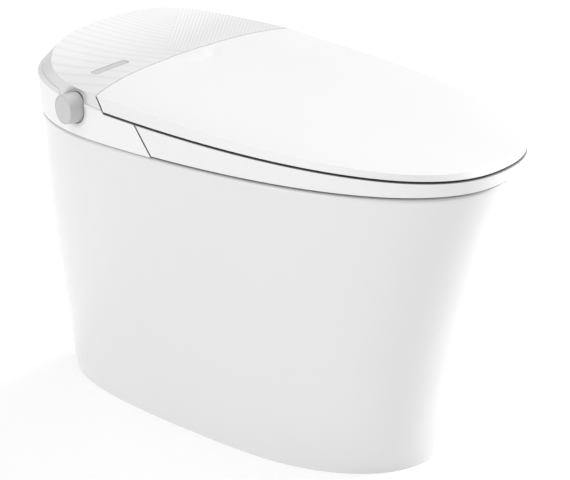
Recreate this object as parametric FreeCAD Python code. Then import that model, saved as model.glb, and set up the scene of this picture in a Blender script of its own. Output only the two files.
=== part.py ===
import FreeCAD, Part
import math
import os

# Floor-standing toilet with a heated seat, an electronic rear housing and a side knob.
# Millimetres. The origin is the centre of the floor outlet, on the floor.
# The user sits facing -Y, the wall is on +Y, and the knob is on the user's right, on -X.

Vec = FreeCAD.Vector

# ---- overall envelope ----
body_length = 680.0
outlet_to_back = 280.0
rim_height = 390.0
outline_steps = 24

# plan outline of the ceramic at its foot and at its rim, each two superellipse halves
foot_half_width = 141.0
foot_front_y = -310.5
foot_back_y = 258.0
foot_middle_y = -95.0
foot_front_power = 2.16
foot_back_power = 3.2
rim_half_width = 196.0
rim_front_inset = 5.0
rim_middle_y = 47.0
rim_front_power = 2.33
rim_back_power = 2.3
side_flare = 2.0
front_flare = 1.6
back_flare = 1.1
skirt_levels = 4

# parting plane between seat and lid: its height over the origin and its rise to the rear
lid_gap_height = 428.2
lid_gap_rise = 0.046
gap_half_width = 196.0
gap_front_power = 2.37
gap_back_power = 2.4
lid_gap = 3.0

# top edge line of lid and rear cover
top_edge_height = 442.5
top_edge_rise = 0.065
top_edge_side_inset = 7.8
top_edge_front_inset = 11.0
top_edge_back_inset = 42.0
top_front_power = 2.5
top_back_power = 2.8
rear_rise_start_y = 140.0
rear_rise = 36.0
crown_height = 5.5
crown_power = 4.0

# seams of lid and seat towards the rear housing
lid_seam_y = 77.6
lid_seam_bow = 13.0
lid_seam_lean = 1.09
lid_seam_gap = 2.5
seat_seam_y = -20.4
seat_seam_lean = 0.716
seat_seam_gap = 3.0

# walls and clearances
shell_wall = 3.0
snug_gap = 0.3
moving_gap = 1.5
seat_rim_gap = 3.0
gasket_thickness = 1.0
parting_line = 0.4

# ceramic
ceramic_wall = 12.0
deck_thickness = 14.0
rim_edge_radius = 4.0
bowl_half_width = 118.0
bowl_front_margin = 46.0
bowl_back_y = -36.0
sump_y = -205.0
trap_bore = 24.0
trap_wall = 9.0
weir_height = 262.0
weir_y = -95.0
trap_bend = 45.0
outlet_bore = 40.0
outlet_wall = 10.0
outlet_depth = 50.0
seal_height = 12.0
seal_width = 13.0
well_half_width = 120.0
well_front_y = 62.0
well_back_y = 215.0
well_floor_height = 250.0
well_corner = 20.0
bay_left_x = -32.0
bay_right_x = 66.0
bay_depth = 28.0
bay_back_y = 40.0
jet_bore = 9.0
jet_wall = 6.0
jet_x = 111.0
jet_y = 30.0
jet_drop = 34.0

# seat
seat_hole_half_width = 104.0
seat_hole_front_margin = 60.0
seat_hole_back_y = -62.0
seat_dish_width = 42.0
seat_dish_depth = 8.0
heater_foil_thickness = 0.6
seat_plate_thickness = 3.0
buffer_radius = 11.0
buffer_rest_gap = 0.2

# lid
lid_wall = 3.0
liner_thickness = 2.5
lid_buffer_thickness = 2.6

# hinge
hinge_depth = 13.0
hinge_setback = 25.5
hinge_shaft_radius = 5.0
hinge_eye_radius = 8.0
hinge_bore_gap = 0.05
hinge_side_play = 0.4
lid_arm_x = 95.0
seat_arm_x = 70.0
arm_width = 10.0
arm_thickness = 6.0
lid_arm_drop = 28.0
lid_arm_reach = 57.5
seat_arm_drop = 30.0
seat_arm_reach = 143.5
damper_radius = 7.5
damper_length = 44.0
hinge_boss_width = 6.0

# knob on the user's right
knob_y = 113.5
knob_height = 426.3
knob_radius = 19.5
knob_nose_radius = 18.6
knob_depth = 17.0
knob_gap = 0.8
knob_shell = 2.4
knob_press = 1.2
knob_boss_radius = 21.7
knob_angle = 14.0
knob_cap_thickness = 1.6
stem_radius = 3.0
tongue_radius = 9.0
tongue_dip = 4.5

# display window in the rear cover
window_x = -109.8
window_y = 128.8
window_length = 63.0
window_width = 12.0
window_thickness = 2.0
board_thickness = 1.6

# wash nozzle
nozzle_angle = 20.0
nozzle_exit_y = -33.0
nozzle_exit_drop = 16.0
wand_radius = 7.5
wand_length = 133.0
nozzle_travel = 70.0
cradle_wall = 2.5
tip_length = 14.0
shield_thickness = 2.0
rack_height = 3.0
pinion_teeth = 14

# rear equipment
base_thickness = 3.0
screw_radius = 2.0
bolt_radius = 4.0

# hinge details
arm_foot_width = 30.0
arm_foot_length = 30.0
arm_foot_thickness = 4.0
arm_slot_rise = 10.0
lid_slot_reach = 69.5
seat_slot_reach = 149.5
hinge_shaft_half_length = 150.0
damper_x = 111.0
hinge_boss_places = (57.0, 82.5, 107.0)

# bowl and ceramic details
bowl_depth = 282.0
bowl_power = 2.2
sump_half_width = 36.0
neck_height = 24.0
sump_top_height = 200.0
jet_end_x = 84.0
jet_end_y = -95.0
jet_bend = 18.0
plug_radius = 9.0
bolt_x = 150.0
bolt_y = 40.0

# seat and lid details
heater_margin = 10.0
heater_back_margin = 9.0
heater_front_y = -300.0
seat_buffer_x = 150.0
seat_buffer_back_y = -60.0
seat_buffer_front_x = 105.0
seat_buffer_front_y = -290.0
lid_buffer_x = 120.0
lid_buffer_y = -250.0

# rear housing details
cover_parting_height = 428.5
cover_parting_rise = 0.078
cover_parting_start = 40.0
tongue_y = 141.0
knob_base_x = 191.0
window_seat_gap = 0.2
window_sink = 0.3
board_drop = 6.0
board_front_margin = 5.5
gasket_inset = 6.0
gasket_width = 12.0
snout_gap = 0.8
snout_wall = 2.5
snout_front_y = -34.0
snout_roof_gap = 0.5
snout_step_y = -9.0
well_way_half_width = 40.0

# knob details
knob_sink = 4.0
knob_edge_radius = 1.0
knob_cap_radius = 17.0
stem_top = 12.0
stem_length = 14.0
backplate_thickness = 2.5
backplate_depth = 9.0
encoder_size = 14.0
encoder_depth = 9.0

# nozzle details
rack_bed = 5.2
rack_width = 5.0
rack_start = 50.0
rack_mesh = 58.0
tooth_module = 1.0
tooth_backlash = 0.25
pressure_angle = 20.0
flank_steps = 6
pinion_width = 5.0
spindle_radius = 2.0
spindle_left = 20.0
spindle_right = 9.5
cradle_half_width = 10.5
cradle_start = 22.0
cradle_end = 128.0
cradle_foot_y = 74.0
cradle_way_y = 54.0
cradle_way_depth = 8.0
channel_lip = 2.0
ear_thickness = 2.2
ear_half_length = 5.0
ear_top_margin = 4.0
motor_radius = 10.0
motor_length = 30.0

# dryer details
duct_left_x = 24.0
duct_right_x = 50.0
duct_height = 18.0
duct_wall = 1.6
duct_bend_y = 12.0
duct_dive_y = -6.0
flap_low_z = 369.0
flap_high_z = 385.5
flap_pin_z = 383.5
flap_pin_radius = 1.2
flap_thickness = 1.6
flap_y = -32.75
fan_x = 58.0
fan_y = 184.0
fan_radius = 38.0
fan_height = 34.0
fan_wall = 2.0
fan_inlet_radius = 20.0

# water side details
inlet_x = 60.0
inlet_z = 416.0
inlet_radius = 10.4
inlet_bore = 7.0
inlet_length = 34.0
inlet_thread_length = 12.0
inlet_seat_gap = 2.0
inlet_neck_step = 0.8
inlet_hole_gap = 0.6
hex_radius = 14.0
hose_radius = 6.0
hose_wall = 1.5
hose_bend = 10.0
supply_turn_y = 227.5
valve_x = 130.0
valve_y = 172.0
heater_x = -30.0
heater_y = 178.0
heater_half_width = 30.0
heater_half_length = 48.0
heater_height = 40.0
wash_hose_z = 402.0
wash_turn_y = 116.0
wash_end_x = -16.0
wash_end_y = 92.0
flush_pipe_radius = 7.0
flush_up_y = 84.0
flush_over_z = 402.0
flush_bend = 9.0
tank_left_x = -112.0
tank_right_x = 30.0
tank_top = 376.0
pump_x = 78.0
pump_y = 140.0
pump_radius = 28.0
pump_height = 46.0
pump_motor_radius = 22.0
pump_motor_height = 60.0

# electronics details
control_right = 70.0
control_width = 74.0
control_y = 142.0
control_length = 62.0
control_height = 30.0
gland_x = -60.0
gland_radius = 6.0
gland_bore = 3.6
gland_inset = 5.0


def height_plane(base, rise):
    """Height over the floor of a plane that rises to the rear."""
    return lambda y: base + rise * y


gap_plane = height_plane(lid_gap_height, lid_gap_rise)
edge_plane = height_plane(top_edge_height, top_edge_rise)
front_y = outlet_to_back - body_length


def level(height):
    return height_plane(height, 0.0)


# ---- general shapes ----

def outline(half_width, front, back, middle, front_power, back_power, height):
    """Closed smooth wire of two superellipse halves that meet on the line y = middle."""
    points = []
    for step in range(outline_steps):
        angle = 2.0 * math.pi * step / outline_steps
        across = math.cos(angle)
        along = math.sin(angle)
        power = back_power if along >= 0 else front_power
        reach = back - middle if along >= 0 else middle - front
        stretch = (abs(across) ** power + abs(along) ** power) ** (-1.0 / power)
        x = half_width * across * stretch
        y = middle + reach * along * stretch
        points.append(Vec(x, y, height(y)))
    curve = Part.BSplineCurve()
    curve.interpolate(Points=points, PeriodicFlag=True)
    return Part.Wire(curve.toShape())


def loft(wires):
    return Part.makeLoft(wires, True, False)


def block(x_low, x_high, y_low, y_high, z_low, z_high):
    size = Vec(x_high - x_low, y_high - y_low, z_high - z_low)
    return Part.makeBox(size.x, size.y, size.z, Vec(x_low, y_low, z_low))


def cylinder(radius, length, start, direction):
    return Part.makeCylinder(radius, length, start, direction)


def side_prism(corners, x_low, x_high):
    """A polygon drawn in the YZ plane and carried along X."""
    points = [Vec(x_low, y, z) for y, z in corners]
    face = Part.Face(Part.makePolygon(points + points[:1]))
    return face.extrude(Vec(x_high - x_low, 0, 0))


def plan_prism(corners, z_low, z_high):
    """A polygon drawn in the XY plane and carried upwards."""
    points = [Vec(x, y, z_low) for x, y in corners]
    face = Part.Face(Part.makePolygon(points + points[:1]))
    return face.extrude(Vec(0, 0, z_high - z_low))


def rounded_block(x_low, x_high, y_low, y_high, z_low, z_high, radius):
    """Block with its four upright edges rounded."""
    body = block(x_low, x_high, y_low, y_high, z_low, z_high)
    upright = [edge for edge in body.Edges if abs(edge.tangentAt(edge.FirstParameter).z) > 0.9]
    return body.makeFillet(radius, upright)


def rounded_path(points, bend):
    """Straight runs joined by tangent arcs of one radius."""
    edges = []
    start = points[0]
    for before, corner, after in zip(points, points[1:], points[2:]):
        back = (before - corner).normalize()
        ahead = (after - corner).normalize()
        half_turn = back.getAngle(ahead) / 2.0
        run = bend / math.tan(half_turn)
        arc_start = corner + back * run
        arc_end = corner + ahead * run
        middle = corner + (back + ahead).normalize() * (bend / math.sin(half_turn) - bend)
        edges.append(Part.LineSegment(start, arc_start).toShape())
        edges.append(Part.Arc(arc_start, middle, arc_end).toShape())
        start = arc_end
    edges.append(Part.LineSegment(start, points[-1]).toShape())
    return Part.Wire(edges)


def rod(points, bend, radius):
    """Round bar along a path of straight runs and arcs."""
    path = rounded_path(points, bend)
    ring = Part.Wire(Part.Circle(points[0], points[1] - points[0], radius).toShape())
    return path.makePipeShell([ring], True, False)


def pipe(points, bend, radius, wall):
    return rod(points, bend, radius).cut(rod(points, bend, radius - wall))


def strap(points, thickness, x_middle, width):
    """Flat bar bent in the YZ plane, with round corners, carried along X."""
    x_low = x_middle - width / 2.0
    pieces = []
    for (y_a, z_a), (y_b, z_b) in zip(points, points[1:]):
        length = math.hypot(y_b - y_a, z_b - z_a)
        off_y = -(z_b - z_a) / length * thickness / 2.0
        off_z = (y_b - y_a) / length * thickness / 2.0
        corners = [(y_a + off_y, z_a + off_z), (y_b + off_y, z_b + off_z),
                   (y_b - off_y, z_b - off_z), (y_a - off_y, z_a - off_z)]
        pieces.append(side_prism(corners, x_low, x_low + width))
    for y, z in points[1:-1]:
        pieces.append(cylinder(thickness / 2.0, width, Vec(x_low, y, z), Vec(1, 0, 0)))
    return join(pieces)


def join(pieces):
    body = pieces[0]
    if len(pieces) > 1:
        body = body.fuse(pieces[1:])
    return body.removeSplitter()


def cut_away(body, pieces):
    return body.cut(pieces)


# ---- the outer form ----

def skirt_outline(share, inset):
    """Outline of the ceramic at a share of the rim height, moved in by inset.
    The half width swells fast over the foot, the front leans out towards the rim."""
    swell = 1.0 - (1.0 - share) ** side_flare
    half_width = foot_half_width + (rim_half_width - foot_half_width) * swell
    front = foot_front_y + (front_y + rim_front_inset - foot_front_y) * share ** front_flare
    back = foot_back_y + (outlet_to_back - foot_back_y) * share ** back_flare
    middle = foot_middle_y + (rim_middle_y - foot_middle_y) * share
    front_power = foot_front_power + (rim_front_power - foot_front_power) * share
    back_power = foot_back_power + (rim_back_power - foot_back_power) * share
    return outline(half_width - inset, front + inset, back - inset,
                   middle, front_power, back_power, level(rim_height * share))


def skirt_solid(inset):
    return loft([skirt_outline(step / skirt_levels, inset) for step in range(skirt_levels + 1)])


upper_solids = {}


def upper_solid(inset):
    """The space inside the upper form, its skin moved in by inset, made once for each inset."""
    key = round(inset, 6)
    if key not in upper_solids:
        upper_solids[key] = make_upper_solid(inset)
    return upper_solids[key]


def top_height(height):
    """Height along Y of the top edge line: a plane that turns upwards over the rear end."""
    def at(y):
        share = max(y - rear_rise_start_y, 0.0) / (outlet_to_back - rear_rise_start_y)
        return height + top_edge_rise * y + rear_rise * share ** 2
    return at


def make_upper_solid(inset):
    """Everything above the rim: sides up to the top edge line, and the shallow dome over it."""
    front = front_y + inset
    back = outlet_to_back - inset
    below = 6.0
    low = outline(rim_half_width - inset, front + rim_front_inset, back, rim_middle_y,
                  rim_front_power, rim_back_power, level(rim_height - below))
    middle = outline(gap_half_width - inset, front, back, rim_middle_y,
                     gap_front_power, gap_back_power, gap_plane)
    drop = top_height(top_edge_height - inset)
    top_half_width = gap_half_width - top_edge_side_inset - inset
    top_front = front + top_edge_front_inset
    top_back = back - top_edge_back_inset
    top = outline(top_half_width, top_front, top_back, rim_middle_y, top_front_power, top_back_power, drop)
    sides = Part.makeLoft([low, middle, top], False, True)
    rings = []
    for share in (1.0, 0.93, 0.8, 0.6, 0.35, 0.1):
        lift = crown_height * (1.0 - share ** crown_power)
        surface = top_height(top_edge_height - inset + lift)
        rings.append(outline(top_half_width * share,
                             rim_middle_y + (top_front - rim_middle_y) * share,
                             rim_middle_y + (top_back - rim_middle_y) * share,
                             rim_middle_y, top_front_power, top_back_power, surface))
    dome = Part.makeLoft(rings, False, False)
    skin = Part.makeShell([Part.Face(low)] + sides.Faces + dome.Faces + [Part.Face(rings[-1])])
    skin.sewShape()
    return Part.Solid(skin)


far = 600.0


def above_gap(offset):
    """Space over the lid gap plane, the plane lifted by offset."""
    corners = [(-far, gap_plane(-far) + offset), (far, gap_plane(far) + offset), (far, far), (-far, far)]
    return side_prism(corners, -far, far)


def below_gap(offset):
    corners = [(-far, gap_plane(-far) + offset), (far, gap_plane(far) + offset), (far, 0.0), (-far, 0.0)]
    return side_prism(corners, -far, far)


def above_rim(offset):
    return block(-far, far, -far, far, rim_height + offset, far)


def below_rim(offset):
    return block(-far, far, -far, far, 0.0, rim_height + offset)


def lid_side(offset):
    """Space ahead of the lid's bowed and leaning rear seam, the seam moved to the rear by offset."""
    wires = []
    corner_x = gap_half_width - top_edge_side_inset
    radius = (corner_x ** 2 + lid_seam_bow ** 2) / (2.0 * lid_seam_bow)
    reach = corner_x + 40.0
    sag = radius - math.sqrt(radius ** 2 - reach ** 2)
    for z in (rim_height - 40.0, rim_height + 120.0):
        lean = (z - edge_plane(lid_seam_y)) * lid_seam_lean
        top = lid_seam_y + lid_seam_bow + lean + offset
        arc = Part.Arc(Vec(reach, top - sag, z), Vec(0, top, z), Vec(-reach, top - sag, z)).toShape()
        left = Part.LineSegment(Vec(-reach, top - sag, z), Vec(-reach, -far, z)).toShape()
        front = Part.LineSegment(Vec(-reach, -far, z), Vec(reach, -far, z)).toShape()
        right = Part.LineSegment(Vec(reach, -far, z), Vec(reach, top - sag, z)).toShape()
        wires.append(Part.Wire([arc, left, front, right]))
    return Part.makeLoft(wires, True, True)


def seat_side(offset):
    """Space ahead of the seat's leaning rear seam, the seam moved to the rear by offset."""
    low = rim_height - 60.0
    high = rim_height + 120.0
    y_low = seat_seam_y + (low - rim_height) * seat_seam_lean + offset
    y_high = seat_seam_y + (high - rim_height) * seat_seam_lean + offset
    return side_prism([(-far, low), (y_low, low), (y_high, high), (-far, high)], -far, far)


# ---- hinge line ----
hinge_seam_y = lid_seam_y + lid_seam_bow
hinge_y = hinge_seam_y + hinge_setback
hinge_z = edge_plane(hinge_seam_y) + crown_height - hinge_depth


def hinge_point(ahead, over):
    """A point given from the hinge axis, ahead of it and over it, as (y, z)."""
    return (hinge_y - ahead, hinge_z + over)


def along_x(radius, x_low, x_high, y, z):
    return cylinder(radius, x_high - x_low, Vec(x_low, y, z), Vec(1, 0, 0))


def eye_pair(x_middle):
    """Round eye about the hinge axis, and the bore to cut through it."""
    x_low = x_middle - arm_width / 2.0
    x_high = x_middle + arm_width / 2.0
    eye = along_x(hinge_eye_radius, x_low, x_high, hinge_y, hinge_z)
    bore = along_x(hinge_shaft_radius + hinge_bore_gap, x_low - 1.0, x_high + 1.0, hinge_y, hinge_z)
    return eye, bore


def arm_with_eye(route, foot, x_middle):
    eye, bore = eye_pair(x_middle)
    arm = strap(route, arm_thickness, x_middle, arm_width)
    return arm.fuse([eye, foot]).cut(bore).removeSplitter()


def arm_foot_block(x_middle, y_back, z_low):
    return block(x_middle - arm_foot_width / 2.0, x_middle + arm_foot_width / 2.0,
                 y_back - arm_foot_length, y_back, z_low, z_low + arm_foot_thickness)


seat_plate_top = rim_height + seat_rim_gap + seat_plate_thickness
seat_arm_foot_y = hinge_y - seat_arm_reach


def make_seat_arm(x_middle):
    """Swan-neck arm: down from the hinge, ahead under the shelf, down onto the seat's lower plate."""
    route = [hinge_point(0, 0), hinge_point(0, -seat_arm_drop), hinge_point(seat_arm_reach, -seat_arm_drop),
             (seat_arm_foot_y, seat_plate_top)]
    foot = arm_foot_block(x_middle, seat_arm_foot_y + arm_thickness / 2.0, seat_plate_top)
    return arm_with_eye(route, foot, x_middle)


lid_arm_foot_y = hinge_y - lid_arm_reach


def liner_top(y):
    return gap_plane(y) + lid_gap / 2.0 + liner_thickness


def make_lid_arm(x_middle):
    """Swan-neck arm: down from the hinge, ahead under the lid's rear end, up into the lid."""
    route = [hinge_point(0, 0), hinge_point(0, -lid_arm_drop), hinge_point(lid_arm_reach, -lid_arm_drop),
             (lid_arm_foot_y, liner_top(lid_arm_foot_y) + 1.0)]
    foot = arm_foot_block(x_middle, lid_arm_foot_y + arm_thickness / 2.0, liner_top(lid_arm_foot_y) - 2.0)
    foot = foot.cut(below_gap(lid_gap / 2.0 + liner_thickness))
    return arm_with_eye(route, foot, x_middle)


def arm_slot(x_middle, reach, drop):
    """Space that a swan-neck arm sweeps through the shelf and the wall under the rear cover."""
    half = arm_width / 2.0 + moving_gap
    y_low = hinge_y - reach
    z_low = hinge_z - drop - arm_thickness / 2.0 - moving_gap
    slot = block(x_middle - half, x_middle + half, y_low, hinge_y, z_low, hinge_z + arm_slot_rise)
    return slot


def arm_slots():
    slots = []
    for side in (-1, 1):
        slots.append(arm_slot(side * lid_arm_x, lid_slot_reach, lid_arm_drop))
        slots.append(arm_slot(side * seat_arm_x, seat_slot_reach, seat_arm_drop))
    return slots


def make_hinge_shaft():
    return along_x(hinge_shaft_radius, -hinge_shaft_half_length, hinge_shaft_half_length, hinge_y, hinge_z)


def make_damper(side):
    """Soft-close cylinder on the end of the hinge shaft, with a flat key block under it."""
    near = damper_x
    x_low = min(side * near, side * (near + damper_length))
    x_high = x_low + damper_length
    barrel = along_x(damper_radius, x_low, x_high, hinge_y, hinge_z)
    key = block(x_low + 6.0, x_high - 6.0, hinge_y - 4.0, hinge_y + 4.0, base_top, hinge_z)
    bore = along_x(hinge_shaft_radius, x_low - 1.0, x_high + 1.0, hinge_y, hinge_z)
    return barrel.fuse(key).cut(bore).removeSplitter()


# ---- ceramic ----

def bowl_ring(height, half_width, front, back, grow):
    middle = (front + back) / 2.0
    return outline(half_width + grow, front - grow, back + grow, middle, bowl_power, bowl_power, level(height))


def bowl_solid(grow):
    """The bowl's hollow from the rim down to the sump, its rear wall leaning forward, grown by a wall."""
    front = front_y + bowl_front_margin
    drop = grow if grow > 0 else 0.0
    lift = 0.0 if grow > 0 else 1.0
    rings = [
        bowl_ring(rim_height + lift, bowl_half_width, front, bowl_back_y, grow),
        bowl_ring(rim_height - 0.18 * bowl_depth, bowl_half_width, front + 4.0, bowl_back_y - 14.0, grow),
        bowl_ring(rim_height - 0.42 * bowl_depth, 0.82 * bowl_half_width, front + 32.0, bowl_back_y - 74.0, grow),
        bowl_ring(rim_height - 0.70 * bowl_depth, 0.52 * bowl_half_width, front + 84.0, bowl_back_y - 124.0, grow),
        bowl_ring(rim_height - bowl_depth - drop, sump_half_width, sump_y - sump_half_width,
                  sump_y + sump_half_width - 4.0, grow),
    ]
    return loft(rings)


def trap_route(reach_down):
    """Centre line of the trap: up from the sump, over the weir and straight down to the floor outlet."""
    return [Vec(0, sump_y, rim_height - bowl_depth), Vec(0, weir_y, weir_height),
            Vec(0, 0, weir_height), Vec(0, 0, reach_down)]


def jet_route():
    """Flush water passage inside the ceramic, from the deck down and into the bowl's side."""
    return [Vec(jet_x, jet_y, rim_height + 1.0), Vec(jet_x, jet_y, rim_height - jet_drop),
            Vec(jet_end_x, jet_end_y, rim_height - jet_drop)]


def make_ceramic_skirt():
    """The outer wall from the floor to the rim, with its rounded rim edge."""
    body = skirt_solid(0.0)
    body = body.makeFillet(rim_edge_radius, [edge for edge in body.Edges if edge_is_rim(edge)])
    return body.cut(skirt_solid(ceramic_wall))


def well_block(grow, z_high):
    return rounded_block(-well_half_width - grow, well_half_width + grow, well_front_y - grow,
                         well_back_y + grow, well_floor_height - grow, z_high, well_corner + grow)


def bay_block(grow, z_high):
    """Notch for the wash nozzle's housing, open to the bowl."""
    return block(bay_left_x - grow, bay_right_x + grow, bowl_back_y - 30.0 + grow / 2.0, bay_back_y + grow,
                 rim_height - bay_depth - grow, z_high)


def jet_tube():
    tube = rod(jet_route(), jet_bend, jet_bore + jet_wall)
    return tube.cut(block(-far, far, -far, far, rim_height, far))


def make_ceramic_deck():
    """Rim plate inside the skirt, with the well for the tank and the bay for the nozzle let into it."""
    plate = skirt_solid(ceramic_wall)
    band = plate.common(block(-far, far, -far, far, rim_height - deck_thickness, rim_height))
    walls = well_block(ceramic_wall, rim_height - 1.0).common(plate)
    solid = band.fuse([walls, bay_block(ceramic_wall, rim_height - 1.0)])
    openings = [well_block(0.0, rim_height + 1.0), bay_block(0.0, rim_height + 1.0),
                bowl_solid(ceramic_wall), jet_tube()]
    for side in (-1, 1):
        openings.append(cylinder(plug_radius, deck_thickness + 2.0,
                                 Vec(side * bolt_x, bolt_y, rim_height - deck_thickness - 1.0), Vec(0, 0, 1)))
    return solid.cut(openings)


def make_ceramic_bowl():
    """Open part of the bowl, with the flush passage that opens into its side."""
    solid = bowl_solid(ceramic_wall).fuse(jet_tube())
    openings = [bowl_solid(0.0), rod(trap_route(outlet_depth), trap_bend, trap_bore),
                rod(jet_route(), jet_bend, jet_bore), bay_block(0.0, rim_height + 1.0),
                block(-far, far, -far, far, -far, sump_top_height)]
    return largest(solid.cut(openings))


def make_ceramic_sump():
    """Closed foot of the bowl that holds the standing water, open towards the trap."""
    foot = bowl_solid(ceramic_wall).common(block(-far, far, -far, far, 0.0, sump_top_height))
    openings = [bowl_solid(0.0), rod(trap_route(outlet_depth), trap_bend, trap_bore)]
    return largest(foot.cut(openings))


def make_ceramic_trap():
    """Trap pipe over the weir and down to the floor outlet."""
    pipe_outer = rod(trap_route(outlet_depth / 2.0), trap_bend, trap_bore + trap_wall)
    outlet = cylinder(outlet_bore + outlet_wall, outlet_depth, Vec(0, 0, 0), Vec(0, 0, 1))
    neck = Part.makeCone(outlet_bore + outlet_wall, trap_bore + trap_wall, neck_height,
                         Vec(0, 0, outlet_depth), Vec(0, 0, 1))
    solid = pipe_outer.fuse([outlet, neck])
    openings = [
        bowl_solid(ceramic_wall),
        rod(trap_route(outlet_depth), trap_bend, trap_bore),
        cylinder(outlet_bore, outlet_depth + 1.0, Vec(0, 0, -1.0), Vec(0, 0, 1)),
        Part.makeCone(outlet_bore, trap_bore, neck_height, Vec(0, 0, outlet_depth), Vec(0, 0, 1)),
    ]
    return largest(solid.cut(openings))


def edge_is_rim(edge):
    box = edge.BoundBox
    return box.ZMin > rim_height - 0.5 and box.XLength > rim_half_width


def make_outlet_seal():
    ring = cylinder(outlet_bore + outlet_wall + seal_width, seal_height, Vec(0, 0, 0), Vec(0, 0, 1))
    hole = cylinder(outlet_bore + outlet_wall, seal_height + 2.0, Vec(0, 0, -1.0), Vec(0, 0, 1))
    return ring.cut(hole)


# ---- seat ----

def seat_hole(grow, z_low, z_high):
    """The seat's oval opening, carried up between two heights and grown outwards."""
    front = front_y + seat_hole_front_margin
    middle = (front + seat_hole_back_y) / 2.0
    rings = []
    for z in (z_low, z_high):
        rings.append(outline(seat_hole_half_width + grow, front - grow, seat_hole_back_y + grow,
                             middle, bowl_power, bowl_power, level(z)))
    return loft(rings)


def seat_dish(drop):
    """The hollow that slopes the seat's top down to its opening."""
    front = front_y + seat_hole_front_margin
    middle = (front + seat_hole_back_y) / 2.0
    rings = []
    for grow, over in ((-2.0, -seat_dish_depth), (0.4 * seat_dish_width, -0.45 * seat_dish_depth),
                       (seat_dish_width, 1.0)):
        plane = height_plane(lid_gap_height - lid_gap / 2.0 - drop + over, lid_gap_rise)
        rings.append(outline(seat_hole_half_width + grow, front - grow, seat_hole_back_y + grow,
                             middle, bowl_power, bowl_power, plane))
    high = height_plane(lid_gap_height + 30.0, lid_gap_rise)
    cap = outline(seat_hole_half_width + seat_dish_width, front - seat_dish_width,
                  seat_hole_back_y + seat_dish_width, middle, bowl_power, bowl_power, high)
    low_cap = rings[-1]
    return loft(rings).fuse(Part.makeLoft([low_cap, cap], True, True))


def seat_block(inset):
    """Solid seat with no hollow: between the rim gap and the lid gap, ahead of its rear seam."""
    body = upper_solid(inset)
    body = body.common(seat_side(-inset))
    body = body.cut([above_gap(-lid_gap / 2.0 - inset), below_rim(seat_rim_gap)])
    return body


def make_seat_top_shell():
    body = seat_block(0.0)
    body = body.cut([seat_hole(0.0, rim_height - 10.0, rim_height + 80.0), seat_dish(0.0)])
    hollow = seat_block(shell_wall)
    hollow = hollow.cut([seat_hole(shell_wall, rim_height - 10.0, rim_height + 80.0), seat_dish(shell_wall)])
    slots = [block(side * seat_arm_x - arm_width / 2.0 - snug_gap, side * seat_arm_x + arm_width / 2.0 + snug_gap,
                   seat_arm_foot_y, hinge_y, hinge_z - seat_arm_drop - arm_thickness / 2.0 - snug_gap,
                   hinge_z - seat_arm_drop + arm_thickness / 2.0 + snug_gap) for side in (-1, 1)]
    return body.cut([hollow] + slots)


def make_seat_lower_plate():
    slab = upper_solid(shell_wall + snug_gap)
    slab = slab.common(seat_side(-shell_wall - 2.0 * snug_gap))
    slab = slab.cut([above_rim(seat_rim_gap + seat_plate_thickness), below_rim(seat_rim_gap)])
    return slab.cut(seat_hole(shell_wall + snug_gap, rim_height - 10.0, rim_height + 30.0))


def make_seat_heater_foil():
    """Thin heating foil under the seat's flat upper skin."""
    top = -lid_gap / 2.0 - shell_wall
    slab = upper_solid(shell_wall + heater_margin)
    slab = slab.common(seat_side(-heater_back_margin))
    slab = slab.cut([above_gap(top), below_gap(top - heater_foil_thickness)])
    slab = slab.cut(block(-far, far, -far, heater_front_y, 0.0, far))
    return slab.cut(seat_hole(seat_dish_width + shell_wall, rim_height - 10.0, rim_height + 80.0))


def make_seat_buffers():
    pads = []
    for x, y in ((-seat_buffer_x, seat_buffer_back_y), (seat_buffer_x, seat_buffer_back_y),
                 (-seat_buffer_front_x, seat_buffer_front_y), (seat_buffer_front_x, seat_buffer_front_y)):
        height = seat_rim_gap - buffer_rest_gap
        pads.append(cylinder(buffer_radius, height, Vec(x, y, rim_height + buffer_rest_gap), Vec(0, 0, 1)))
    return Part.makeCompound(pads)


# ---- lid ----

def lid_block(inset):
    body = upper_solid(inset)
    body = body.common(lid_side(-inset))
    return body.cut(below_gap(lid_gap / 2.0))


def make_lid_outer_shell():
    return lid_block(0.0).cut(lid_block(lid_wall))


def make_lid_liner():
    slab = upper_solid(lid_wall + snug_gap)
    slab = slab.common(lid_side(-lid_wall - 2.0 * snug_gap))
    slab = slab.cut([below_gap(lid_gap / 2.0), above_gap(lid_gap / 2.0 + liner_thickness)])
    slots = []
    for side in (-1, 1):
        half = arm_width / 2.0 + snug_gap
        slots.append(block(side * lid_arm_x - half, side * lid_arm_x + half,
                           lid_arm_foot_y - arm_thickness / 2.0 - snug_gap,
                           lid_arm_foot_y + arm_thickness / 2.0 + snug_gap, rim_height, rim_height + 80.0))
    return slab.cut(slots)


def make_lid_buffers():
    pads = []
    for x, y in ((-lid_buffer_x, lid_buffer_y), (lid_buffer_x, lid_buffer_y)):
        pad = cylinder(buffer_radius, far, Vec(x, y, 0.0), Vec(0, 0, 1))
        pads.append(pad.cut([above_gap(lid_gap / 2.0), below_gap(lid_gap / 2.0 - lid_buffer_thickness)]))
    return Part.makeCompound(pads)


# ---- rear housing ----
cover_plane_offset = parting_line / 2.0


def above_parting(offset):
    """Space over the fine parting line between rear cover and lower shell."""
    plane = height_plane(cover_parting_height + offset, cover_parting_rise)
    corners = [(cover_parting_start, plane(cover_parting_start)), (far, plane(far)), (far, far),
               (cover_parting_start, far)]
    return side_prism(corners, -far, far)


def knob_frame():
    """The knob's axis leaves the body to the left and a little to the rear."""
    turn = math.radians(knob_angle)
    direction = Vec(-math.cos(turn), math.sin(turn), 0)
    base = Vec(-knob_base_x, knob_y, knob_height)
    return FreeCAD.Placement(base, FreeCAD.Rotation(Vec(0, 0, 1), direction))


def knob_part(shape):
    shape.Placement = knob_frame().multiply(shape.Placement)
    return shape


def knob_disc(radius, low, high):
    return knob_part(Part.makeCylinder(radius, high - low, Vec(0, 0, low), Vec(0, 0, 1)))


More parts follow.
